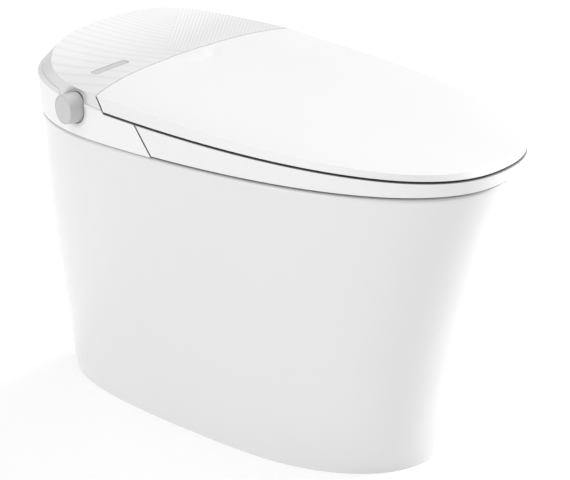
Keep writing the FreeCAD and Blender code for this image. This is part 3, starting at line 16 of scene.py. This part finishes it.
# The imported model, and its box before anything is added. Lengths are in metres, unless a name says otherwise.
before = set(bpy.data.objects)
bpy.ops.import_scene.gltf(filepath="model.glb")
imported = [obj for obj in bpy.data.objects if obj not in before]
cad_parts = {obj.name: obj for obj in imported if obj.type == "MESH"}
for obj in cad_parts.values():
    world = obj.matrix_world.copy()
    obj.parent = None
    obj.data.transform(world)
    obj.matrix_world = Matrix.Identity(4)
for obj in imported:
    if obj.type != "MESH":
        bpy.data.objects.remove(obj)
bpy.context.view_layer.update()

# The photograph's camera, from a fit to the outlines of the toilet in it. Angles are in degrees.
CAMERA_AZIMUTH = -50.931
CAMERA_HEIGHT_ANGLE = 22.453
CAMERA_DISTANCE = 2.5829
CAMERA_AIM = (0.0, -0.06762, 0.23427)
CAMERA_LENS_MM = 126.3
CAMERA_SENSOR_MM = 36.0
CAMERA_SIGHT = 50.0

# Where the bright parts of the white room lie, and how sharply each one ends.
RIGHT_WALL = (0.95, -0.30, 0.20)
RIGHT_WALL_SHARPNESS = 16.0
LEFT_WALL = (-0.99, 0.10, 0.25)
LEFT_WALL_SHARPNESS = 6.0
CEILING = (0.0, 0.0, 1.0)
CEILING_SHARPNESS = 2.0
SEEN_ROOM_LIGHT = 1.0
WHITE = (1.0, 1.0, 1.0, 1.0)
FLOOR_REACH = 6.0

# The relief's two level directions, and how far up a face looks where the relief starts and where it is full.
BROAD_DIRECTION = (0.89, 0.46)
CROSS_DIRECTION = (-0.57, 0.82)
RELIEF_STARTS = 0.8
RELIEF_IS_FULL = 0.93

# How often brushed streaks change along each axis, for metal drawn along X and along Y.
DRAWN_ALONG_X = (40.0, 900.0, 900.0)
DRAWN_ALONG_Y = (900.0, 40.0, 900.0)

INNER_MOULDINGS = ("base_tray", "seat_hinge_arm", "lid_hinge_arm", "knob_backplate", "nozzle_cradle",
                   "nozzle_wand", "nozzle_tip", "nozzle_shield", "dryer_duct", "dryer_flap", "water_heater",
                   "flush_tank", "flush_pipe", "control_case")
DARK_MOULDINGS = ("soft_close", "knob_encoder", "nozzle_motor", "dryer_fan", "solenoid", "seat_sensor",
                  "flush_pump_body", "flush_pump_wheel", "cable_gland", "nozzle_rack", "nozzle_pinion")
STEEL_PIECES = ("mounting_bolts", "hinge_shaft", "knob_stem", "inlet_strainer", "flush_pump_motor",
                "dryer_heater")
DARK_RUBBERS = ("outlet_seal", "base_gasket", "mounting_plugs")
PALE_RUBBERS = ("seat_buffers", "lid_buffers")


# ---- sizes and colours ----

def color_property(name, description, default):
    return FloatVectorProperty(name=name, description=description, subtype="COLOR", size=3, default=default)


def length_property(name, description, default):
    return FloatProperty(name=name, description=description, unit="LENGTH", default=default)


def light_property(name, description, default):
    return FloatProperty(name=name, description=description, min=0.0, default=default)


class ToiletSizes(bpy.types.PropertyGroup):
    """Sizes, colours and lights that the panel shows."""
    glaze_color: color_property("Glaze", "Fired glaze of the ceramic body", (0.695, 0.695, 0.695))
    lid_color: color_property("Lid", "Plastic of the lid's shell", (0.795, 0.795, 0.795))
    cover_color: color_property("Rear cover", "Plastic of the cover with the relief", (0.715, 0.715, 0.715))
    seat_color: color_property("Seat", "Plastic of the seat and the lid's liner", (0.76, 0.76, 0.76))
    housing_color: color_property("Housing side", "Plastic of the housing's lower shell", (0.78, 0.78, 0.78))
    inner_color: color_property("Inner mouldings", "Pale plastic inside the housing", (0.72, 0.72, 0.71))
    dark_color: color_property("Dark plastic", "Dark plastic inside the housing", (0.03, 0.03, 0.035))
    knob_color: color_property("Knob", "Satin plastic of the side knob", (0.55, 0.55, 0.55))
    window_color: color_property("Window", "Smoked cover of the display", (0.60, 0.61, 0.62))
    foil_color: color_property("Foil", "Bright aluminium of the heating foil", (0.86, 0.86, 0.87))
    foil_track_color: color_property("Foil tracks", "Etched tracks of the heating foil", (0.42, 0.40, 0.37))
    board_color: color_property("Board", "Green lacquer of the circuit boards", (0.012, 0.085, 0.045))
    board_track_color: color_property("Board tracks", "Copper tracks under the lacquer", (0.03, 0.16, 0.08))
    braid_color: color_property("Hose braid", "Raised strands of the braided hoses", (0.42, 0.42, 0.44))
    braid_gap_color: color_property("Braid gaps", "Low places between the strands", (0.12, 0.12, 0.13))
    pale_rubber_color: color_property("Pale rubber", "Buffers of seat and lid", (0.62, 0.62, 0.60))
    dark_rubber_color: color_property("Dark rubber", "Seals, gasket and plugs", (0.025, 0.025, 0.025))
    steel_color: color_property("Steel", "Bolts, shaft and other drawn steel", (0.62, 0.62, 0.63))
    brass_color: color_property("Brass", "Turned brass of the water inlet", (0.72, 0.52, 0.24))
    floor_color: color_property("Floor", "Pale floor", (0.56, 0.56, 0.56))
    floor_cloud_color: color_property("Floor clouds", "Darker patches of the floor", (0.54, 0.54, 0.54))
    track_pitch: length_property("Track pitch", "Distance between tracks on foil and boards", 0.004)
    braid_pitch: length_property("Braid pitch", "Distance between strands of a hose", 0.003)
    relief_pitch: length_property("Relief pitch", "Distance between the first broad lines", 0.0075)
    relief_growth: FloatProperty(name="Relief growth", description="Widening of the relief for each line",
                                 default=0.08)
    relief_start: length_property("Relief start", "Where the broad lines start to widen", 0.15)
    relief_end: length_property("Crossing start", "How far to the right the crossing lines begin", 0.05)
    relief_split: length_property("Crossing edge", "How far back the crossing lines reach", 0.109)
    relief_depth: length_property("Relief depth", "Depth of the relief's lines", 0.00025)
    cross_pitch: length_property("Crossing pitch", "Distance between the crossing lines", 0.0045)
    seam_reach: length_property("Seam reach", "Reach of the shade in the cover's seams", 0.012)
    joint_reach: length_property("Joint reach", "Reach of the shade in the other joints", 0.008)
    floor_light: light_property("Floor glow", "Light that the floor gives off by itself", 0.5)
    world_light: light_property("Room light", "Even light from all sides", 0.05)
    right_light: light_property("Right wall light", "Light from the broad wall on the right", 15.0)
    left_light: light_property("Left wall light", "Weaker light from the left", 2.0)
    top_light: light_property("Ceiling light", "Soft light from above", 1.2)


# ---- node trees ----

class Tree:
    """A node tree being written. Each method adds a node and returns the output that the next one uses."""

    def __init__(self, owner, shader="Principled BSDF", coordinates="Object"):
        self.owner = owner
        owner.use_nodes = True
        self.nodes = owner.node_tree.nodes
        self.links = owner.node_tree.links
        self.shader = self.nodes[shader]
        self.place = self.nodes.new("ShaderNodeTexCoord").outputs[coordinates]

    def join(self, output, socket):
        self.links.new(output, socket)

    def node(self, kind, inputs=(), **settings):
        """Adds a node, sets its settings, and sets or links its inputs, given by number or name."""
        made = self.nodes.new(kind)
        for key, value in settings.items():
            setattr(made, key, value)
        for key, value in dict(inputs).items():
            if isinstance(value, bpy.types.NodeSocket):
                self.join(value, made.inputs[key])
            else:
                made.inputs[key].default_value = value
        return made

    def math(self, operation, first, second=0.0, third=0.0):
        return self.node("ShaderNodeMath", {0: first, 1: second, 2: third}, operation=operation).outputs[0]

    def choose(self, share, first, second):
        """A number between first and second, by a share from 0 to 1."""
        return self.node("ShaderNodeMix", {0: share, 2: first, 3: second}, data_type="FLOAT").outputs[0]

    def parts(self, vector):
        """The X, Y and Z outputs of a vector."""
        return self.node("ShaderNodeSeparateXYZ", {0: vector}).outputs

    def noise(self, scale, detail=2.0, rough=0.5):
        """Soft random values from 0 to 1, which change scale times in a metre."""
        return self.node("ShaderNodeTexNoise", {"Vector": self.place, "Scale": scale, "Detail": detail,
                                                "Roughness": rough}).outputs["Fac"]

    def span(self, value, low, high):
        """Maps 0..1 onto low..high."""
        return self.node("ShaderNodeMapRange", {"Value": value, "To Min": low, "To Max": high}).outputs[0]

    def tone(self, value, dark, light):
        """A colour between dark and light."""
        mix = self.node("ShaderNodeMix", {0: value}, data_type="RGBA")
        mix.inputs[6].default_value = (*dark, 1.0)
        mix.inputs[7].default_value = (*light, 1.0)
        return mix.outputs[2]

    def bump(self, height, distance, strength=1.0, under=None):
        """Bends the surface's normal by a height, on top of an earlier bump where one is given."""
        made = self.node("ShaderNodeBump", {"Height": height, "Distance": distance, "Strength": strength})
        if under is not None:
            self.join(under, made.inputs["Normal"])
        return made.outputs[0]

    def finish(self, color, roughness, normal=None, **fixed):
        """Sets the shader, with fixed settings named as its sockets are, and returns the material."""
        for value, socket in ((color, "Base Color"), (roughness, "Roughness"), (normal, "Normal")):
            if isinstance(value, bpy.types.NodeSocket):
                self.join(value, self.shader.inputs[socket])
            elif value is not None:
                self.shader.inputs[socket].default_value = value
        for key, value in fixed.items():
            self.shader.inputs[key.replace("_", " ")].default_value = value
        return self.owner


def new_tree(name):
    return Tree(bpy.data.materials.new(name))


def shade(color, factor=1.0):
    """A colour made darker by a factor."""
    return tuple(channel * factor for channel in color)


def paint_joint_shade(t, color, reach, deepest_shade, sharpness=1.5):
    """Paints shade into a colour where other surfaces close in within a reach: painted shade, as shadow falls
    in a narrow joint.
    """
    open_share = t.node("ShaderNodeAmbientOcclusion", {"Distance": reach}, samples=8).outputs["AO"]
    painted_shade_factor = t.span(t.math("POWER", open_share, sharpness), low=deepest_shade, high=1.0)
    return t.node("ShaderNodeVectorMath", {0: color, 3: painted_shade_factor}, operation="SCALE").outputs[0]


def ridge_wave(t, across, pitch):
    """Round-backed ridges: height 0..1 against the distance across the lines, at a pitch."""
    turns = t.math("DIVIDE", across, pitch)
    return ridge_height(t, turns)


def ridge_height(t, turns):
    """A sine from 0 to 1, which repeats with each whole turn."""
    wave = t.math("SINE", t.math("MULTIPLY", turns, 2.0 * math.pi))
    return t.math("MULTIPLY_ADD", wave, 0.5, 0.5)


def widening_grooves(t, away, first, growth, sharpness=4.0):
    """Narrow grooves whose pitch widens with distance: the turns are the integral of one over the pitch."""
    span = t.math("MAXIMUM", t.math("MULTIPLY_ADD", away, growth / first, 1.0), 1.0)
    widening = t.math("DIVIDE", t.math("LOGARITHM", span, math.e), growth)
    turns = t.math("ADD", widening, t.math("DIVIDE", t.math("MINIMUM", away, 0.0), first))
    return t.math("POWER", ridge_height(t, turns), sharpness)


# ---- finishes ----

def glaze_material(sizes):
    """White sanitary glaze: even colour, soft waviness of the fired coat, clear gloss."""
    t = new_tree("glaze")
    cloud = t.noise(scale=6.0, detail=3.0)
    color = t.tone(cloud, shade(sizes.glaze_color, factor=0.985), sizes.glaze_color)
    wave = t.bump(t.noise(scale=18.0, detail=1.0), distance=0.0006, strength=0.25)
    fine = t.bump(t.noise(scale=900.0, detail=1.0), distance=0.00002, strength=0.3, under=wave)
    return t.finish(color, t.span(cloud, low=0.16, high=0.24), fine, Coat_Weight=0.6, Coat_Roughness=0.05)


def moulded_material(name, color, roughness=0.3, grain=700.0, depth=0.00001, deepest_shade=1.0, reach=0.0):
    """Moulded plastic: faint flow clouds and a fine grain, with painted shade in its joints where a reach is
    given.
    """
    t = new_tree(name)
    fine = t.noise(scale=grain, detail=2.0, rough=0.6)
    flow_tint_and_shade = t.tone(t.noise(scale=9.0, detail=2.0), shade(color, factor=0.97), color)
    if reach > 0.0:
        # Painted shade: the colour is darkened where other surfaces close in, as shade in joints.
        flow_tint_and_shade = paint_joint_shade(t, flow_tint_and_shade, reach, deepest_shade)
    return t.finish(flow_tint_and_shade, t.span(fine, low=roughness * 0.85, high=roughness * 1.15),
                    t.bump(fine, distance=depth, strength=0.5))


def rubber_material(name, color):
    """Soft rubber: matte, with a powdery bloom in patches and a pebbled skin."""
    t = new_tree(name)
    bloom = t.noise(scale=60.0, detail=4.0, rough=0.7)
    skin = t.noise(scale=1400.0, detail=1.0)
    return t.finish(t.tone(bloom, shade(color, factor=0.8), color), t.span(bloom, low=0.65, high=0.85),
                    t.bump(skin, distance=0.00003, strength=0.6), Specular_IOR_Level=0.3)


def brushed_material(name, color, roughness, streaks):
    """Metal turned or drawn in one direction, with fine streaks."""
    t = new_tree(name)
    stretch = t.node("ShaderNodeVectorMath", {0: t.place, 1: streaks}, operation="MULTIPLY")
    streak = t.node("ShaderNodeTexNoise", {"Vector": stretch.outputs[0], "Scale": 1.0, "Detail": 2.0})
    streak = streak.outputs["Fac"]
    return t.finish(t.tone(streak, shade(color, factor=0.82), color),
                    t.span(streak, low=roughness * 0.8, high=roughness * 1.25),
                    t.bump(streak, distance=0.00003, strength=0.6), Metallic=1.0)


def foil_material(sizes):
    """Etched heating foil: bright aluminium with darker parallel tracks."""
    t = new_tree("heating_foil")
    track = ridge_wave(t, t.parts(t.place)[1], sizes.track_pitch)
    crumple = t.noise(scale=220.0, detail=3.0)
    return t.finish(t.tone(track, sizes.foil_track_color, sizes.foil_color),
                    t.span(crumple, low=0.25, high=0.45),
                    t.bump(crumple, distance=0.0001, strength=0.4), Metallic=1.0)


def board_material(sizes):
    """Circuit board: green lacquer over paler tracks, which turn a quarter from patch to patch."""
    t = new_tree("circuit_board")
    x, y, z = t.parts(t.place)
    patch = t.math("GREATER_THAN", t.noise(scale=90.0, detail=0.0), 0.5)
    ridges = t.choose(patch, ridge_wave(t, x, sizes.track_pitch), ridge_wave(t, y, sizes.track_pitch))
    track_edge = 0.62
    track = t.math("GREATER_THAN", ridges, track_edge)
    return t.finish(t.tone(track, sizes.board_color, sizes.board_track_color), 0.32,
                    t.bump(track, distance=0.00005, strength=0.6))


def braid_material(sizes):
    """Braided hose: two slanted families of strands that cross over and under."""
    t = new_tree("hose_braid")
    x, y, z = t.parts(t.place)
    level = t.math("ADD", x, y)
    rising = ridge_wave(t, t.math("ADD", level, z), sizes.braid_pitch)
    falling = ridge_wave(t, t.math("SUBTRACT", level, z), sizes.braid_pitch)
    weave = t.math("MAXIMUM", rising, falling)
    return t.finish(t.tone(weave, sizes.braid_gap_color, sizes.braid_color),
                    t.span(weave, low=0.5, high=0.32),
                    t.bump(weave, distance=0.0003, strength=0.8), Metallic=0.6)


def window_material(sizes):
    """Smoked translucent cover of the display."""
    t = new_tree("window_smoke")
    haze = t.noise(scale=300.0, detail=2.0)
    return t.finish(t.tone(haze, shade(sizes.window_color, factor=0.94), sizes.window_color),
                    t.span(haze, low=0.18, high=0.26), t.bump(haze, distance=0.00001, strength=0.4),
                    Coat_Weight=0.5, Coat_Roughness=0.08)


def relief_field(t, sizes):
    """The cover's pattern, 0..1: widening broad grooves, and at the far right a shallower crossing field."""
    x, y, z = t.parts(t.place)

    def along(direction):
        return t.math("MULTIPLY_ADD", x, direction[0], t.math("MULTIPLY", y, direction[1]))

    rise = along(BROAD_DIRECTION)
    cross = along(CROSS_DIRECTION)
    broad = widening_grooves(t, t.math("SUBTRACT", sizes.relief_start, rise), sizes.relief_pitch,
                             sizes.relief_growth)
    crossing_share = 0.5
    crossing = t.math("MULTIPLY", ridge_wave(t, cross, sizes.cross_pitch), crossing_share)
    right_of_start = t.math("GREATER_THAN", rise, sizes.relief_end)
    within_edge = t.math("LESS_THAN", cross, sizes.relief_split)
    return t.choose(t.math("MULTIPLY", within_edge, right_of_start), broad, crossing)


def relief_material(sizes):
    """Rear cover: satin white, with the line relief on its upper face only, painted shade in the relief's
    grooves and painted shade in its seams.
    """
    t = new_tree("cover_relief")
    up = t.parts(t.node("ShaderNodeNewGeometry").outputs["Normal"])[2]
    top = t.node("ShaderNodeMapRange", {"Value": up, "From Min": RELIEF_STARTS, "From Max": RELIEF_IS_FULL})
    groove = t.math("MULTIPLY", relief_field(t, sizes), top.outputs[0])
    height = t.math("SUBTRACT", 1.0, groove)
    # Painted shade: the colour in the relief's grooves is darker, as shade falls in them.
    color = t.tone(height, shade(sizes.cover_color, factor=0.93), sizes.cover_color)
    fine = t.bump(t.noise(scale=700.0, detail=2.0), distance=0.00001, strength=0.5)
    # Painted shade in the cover's seams, darkest in the narrow seam by the lid.
    return t.finish(paint_joint_shade(t, color, sizes.seam_reach, deepest_shade=0.08, sharpness=3.5),
                    t.span(t.noise(scale=9.0, detail=2.0), low=0.28, high=0.36),
                    t.bump(height, distance=sizes.relief_depth, strength=0.8, under=fine))


def named(*starts):
    """The CAD nodes whose names start with one of the given words."""
    return [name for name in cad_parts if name.startswith(starts)]


def dress(names, material):
    """Puts one material on each named CAD node."""
    for name in names:
        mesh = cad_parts[name].data
        mesh.materials.clear()
        mesh.materials.append(material)


# ---- steps ----

class TOILET_OT_stage(bpy.types.Operator):
    """Lay the floor, light the room and place the camera"""
    bl_idname = "toilet.stage"
    bl_label = "Stage"

    def execute(self, context):
        sizes = context.scene.toilet_sizes
        self.lay_floor(context, sizes)
        self.light_room(context, sizes)
        self.place_camera(context)
        return {"FINISHED"}

    def lay_floor(self, context, sizes):
        """A wide level floor, which glows a little so that it stays as pale as the room."""
        mesh = bpy.data.meshes.new("floor")
        reach = FLOOR_REACH
        mesh.from_pydata([(-reach, -reach, 0), (reach, -reach, 0), (reach, reach, 0), (-reach, reach, 0)],
                         [], [(0, 1, 2, 3)])
        floor = bpy.data.objects.new("floor", mesh)
        context.scene.collection.objects.link(floor)
        t = new_tree("floor")
        color = t.tone(t.noise(scale=1.5), sizes.floor_cloud_color, sizes.floor_color)
        mesh.materials.append(t.finish(color, 0.6, Emission_Color=WHITE, Emission_Strength=sizes.floor_light))

    def light_room(self, context, sizes):
        """Even white room, with a broad bright wall on the right, a weaker one on the left and a ceiling."""
        world = bpy.data.worlds.new("room")
        context.scene.world = world
        t = Tree(world, "Background", "Generated")
        total = sizes.world_light
        for direction, gain, sharpness in ((RIGHT_WALL, sizes.right_light, RIGHT_WALL_SHARPNESS),
                                           (LEFT_WALL, sizes.left_light, LEFT_WALL_SHARPNESS),
                                           (CEILING, sizes.top_light, CEILING_SHARPNESS)):
            facing = t.node("ShaderNodeVectorMath", {0: t.place, 1: direction}, operation="DOT_PRODUCT")
            lobe = t.math("POWER", t.math("MAXIMUM", facing.outputs["Value"], 0.0), sharpness)
            total = t.math("MULTIPLY_ADD", lobe, gain, total)
        seen = t.node("ShaderNodeLightPath").outputs["Is Camera Ray"]
        t.shader.inputs["Color"].default_value = WHITE
        t.join(t.choose(seen, total, SEEN_ROOM_LIGHT), t.shader.inputs["Strength"])

    def place_camera(self, context):
        """The camera of the photograph, turned to its aim point from its azimuth and height angle."""
        azimuth = math.radians(CAMERA_AZIMUTH)
        pitch = math.radians(CAMERA_HEIGHT_ANGLE)
        level = math.cos(pitch)
        back = Vector((math.sin(azimuth) * level, -math.cos(azimuth) * level, math.sin(pitch)))
        right = Vector((math.cos(azimuth), math.sin(azimuth), 0.0))
        up = back.cross(right)
        camera = bpy.data.cameras.new("camera")
        camera.lens = CAMERA_LENS_MM
        camera.sensor_width = CAMERA_SENSOR_MM
        camera.clip_end = CAMERA_SIGHT
        holder = bpy.data.objects.new("camera", camera)
        turn = Matrix((right, up, back)).transposed().to_4x4()
        holder.matrix_world = Matrix.Translation(Vector(CAMERA_AIM) + back * CAMERA_DISTANCE) @ turn
        context.scene.collection.objects.link(holder)
        context.scene.camera = holder
        context.scene.view_settings.view_transform = "Standard"


class TOILET_OT_ceramic(bpy.types.Operator):
    """Glaze the ceramic body"""
    bl_idname = "toilet.ceramic"
    bl_label = "Ceramic"

    def execute(self, context):
        dress(named("ceramic"), glaze_material(context.scene.toilet_sizes))
        return {"FINISHED"}


class TOILET_OT_housing(bpy.types.Operator):
    """Give the rear housing its shell, relief cover, window and boards"""
    bl_idname = "toilet.housing"
    bl_label = "Housing"

    def execute(self, context):
        sizes = context.scene.toilet_sizes
        dress(["housing_lower_shell"],
              moulded_material("housing_white", sizes.housing_color, deepest_shade=0.3, reach=sizes.joint_reach))
        dress(["housing_rear_cover"], relief_material(sizes))
        dress(["display_window"], window_material(sizes))
        dress(["display_board", "control_board"], board_material(sizes))
        return {"FINISHED"}


class TOILET_OT_seat(bpy.types.Operator):
    """Give the seat its shells and heating foil, and seat and lid their buffers"""
    bl_idname = "toilet.seat"
    bl_label = "Seat"

    def execute(self, context):
        sizes = context.scene.toilet_sizes
        dress(["seat_top_shell", "seat_lower_plate"],
              moulded_material("seat_white", sizes.seat_color, roughness=0.26, deepest_shade=0.2,
                               reach=sizes.joint_reach))
        dress(["seat_heater_foil"], foil_material(sizes))
        dress(PALE_RUBBERS, rubber_material("pale_rubber", sizes.pale_rubber_color))
        return {"FINISHED"}


class TOILET_OT_lid(bpy.types.Operator):
    """Give the lid its white shell and liner"""
    bl_idname = "toilet.lid"
    bl_label = "Lid"

    def execute(self, context):
        sizes = context.scene.toilet_sizes
        dress(["lid_outer_shell"],
              moulded_material("lid_white", sizes.lid_color, deepest_shade=0.25, reach=sizes.joint_reach))
        dress(["lid_liner"],
              moulded_material("liner_white", sizes.seat_color, deepest_shade=0.2, reach=sizes.joint_reach))
        return {"FINISHED"}


class TOILET_OT_knob(bpy.types.Operator):
    """Give the side knob its satin finish"""
    bl_idname = "toilet.knob"
    bl_label = "Knob"

    def execute(self, context):
        sizes = context.scene.toilet_sizes
        dress(["knob_body"],
              moulded_material("knob_satin", sizes.knob_color, roughness=0.35, grain=900.0, deepest_shade=0.5,
                               reach=sizes.joint_reach))
        dress(["knob_face_cap"],
              moulded_material("knob_face", shade(sizes.knob_color, factor=0.94), grain=900.0))
        return {"FINISHED"}


class TOILET_OT_works(bpy.types.Operator):
    """Give the inner works their mouldings, metals, rubbers and hoses"""
    bl_idname = "toilet.works"
    bl_label = "Inner works"

    def execute(self, context):
        sizes = context.scene.toilet_sizes
        dress(named(*INNER_MOULDINGS),
              moulded_material("inner_white", sizes.inner_color, roughness=0.42, grain=500.0, depth=0.00002,
                               deepest_shade=0.4, reach=sizes.joint_reach))
        dress(named(*DARK_MOULDINGS),
              moulded_material("dark_plastic", sizes.dark_color, roughness=0.45, grain=500.0, depth=0.00002))
        dress(DARK_RUBBERS, rubber_material("black_rubber", sizes.dark_rubber_color))
        dress(STEEL_PIECES, brushed_material("drawn_steel", sizes.steel_color, 0.28, DRAWN_ALONG_X))
        dress(["inlet_connector"], brushed_material("turned_brass", sizes.brass_color, 0.24, DRAWN_ALONG_Y))
        dress(["supply_hose", "wash_hose"], braid_material(sizes))
        return {"FINISHED"}


class TOILET_PT_panel(bpy.types.Panel):
    """Sidebar with the sizes and a button for each step"""
    bl_idname = "TOILET_PT_panel"
    bl_label = "Toilet"
    bl_space_type = "VIEW_3D"
    bl_region_type = "UI"
    bl_category = "Toilet"

    def draw(self, context):
        for key in ToiletSizes.__annotations__:
            self.layout.prop(context.scene.toilet_sizes, key)
        for step in STEPS:
            self.layout.operator(step.bl_idname)


STEPS = (TOILET_OT_stage, TOILET_OT_ceramic, TOILET_OT_housing, TOILET_OT_seat, TOILET_OT_lid,
         TOILET_OT_knob, TOILET_OT_works)
CLASSES = (ToiletSizes,) + STEPS + (TOILET_PT_panel,)


def register():
    for cls in CLASSES:
        bpy.utils.register_class(cls)
    bpy.types.Scene.toilet_sizes = PointerProperty(type=ToiletSizes)


def unregister():
    del bpy.types.Scene.toilet_sizes
    for cls in reversed(CLASSES):
        bpy.utils.unregister_class(cls)


def main():
    register()
    bpy.ops.toilet.stage()
    bpy.ops.toilet.ceramic()
    bpy.ops.toilet.housing()
    bpy.ops.toilet.seat()
    bpy.ops.toilet.lid()
    bpy.ops.toilet.knob()
    bpy.ops.toilet.works()


if __name__ == "__main__":
    main()
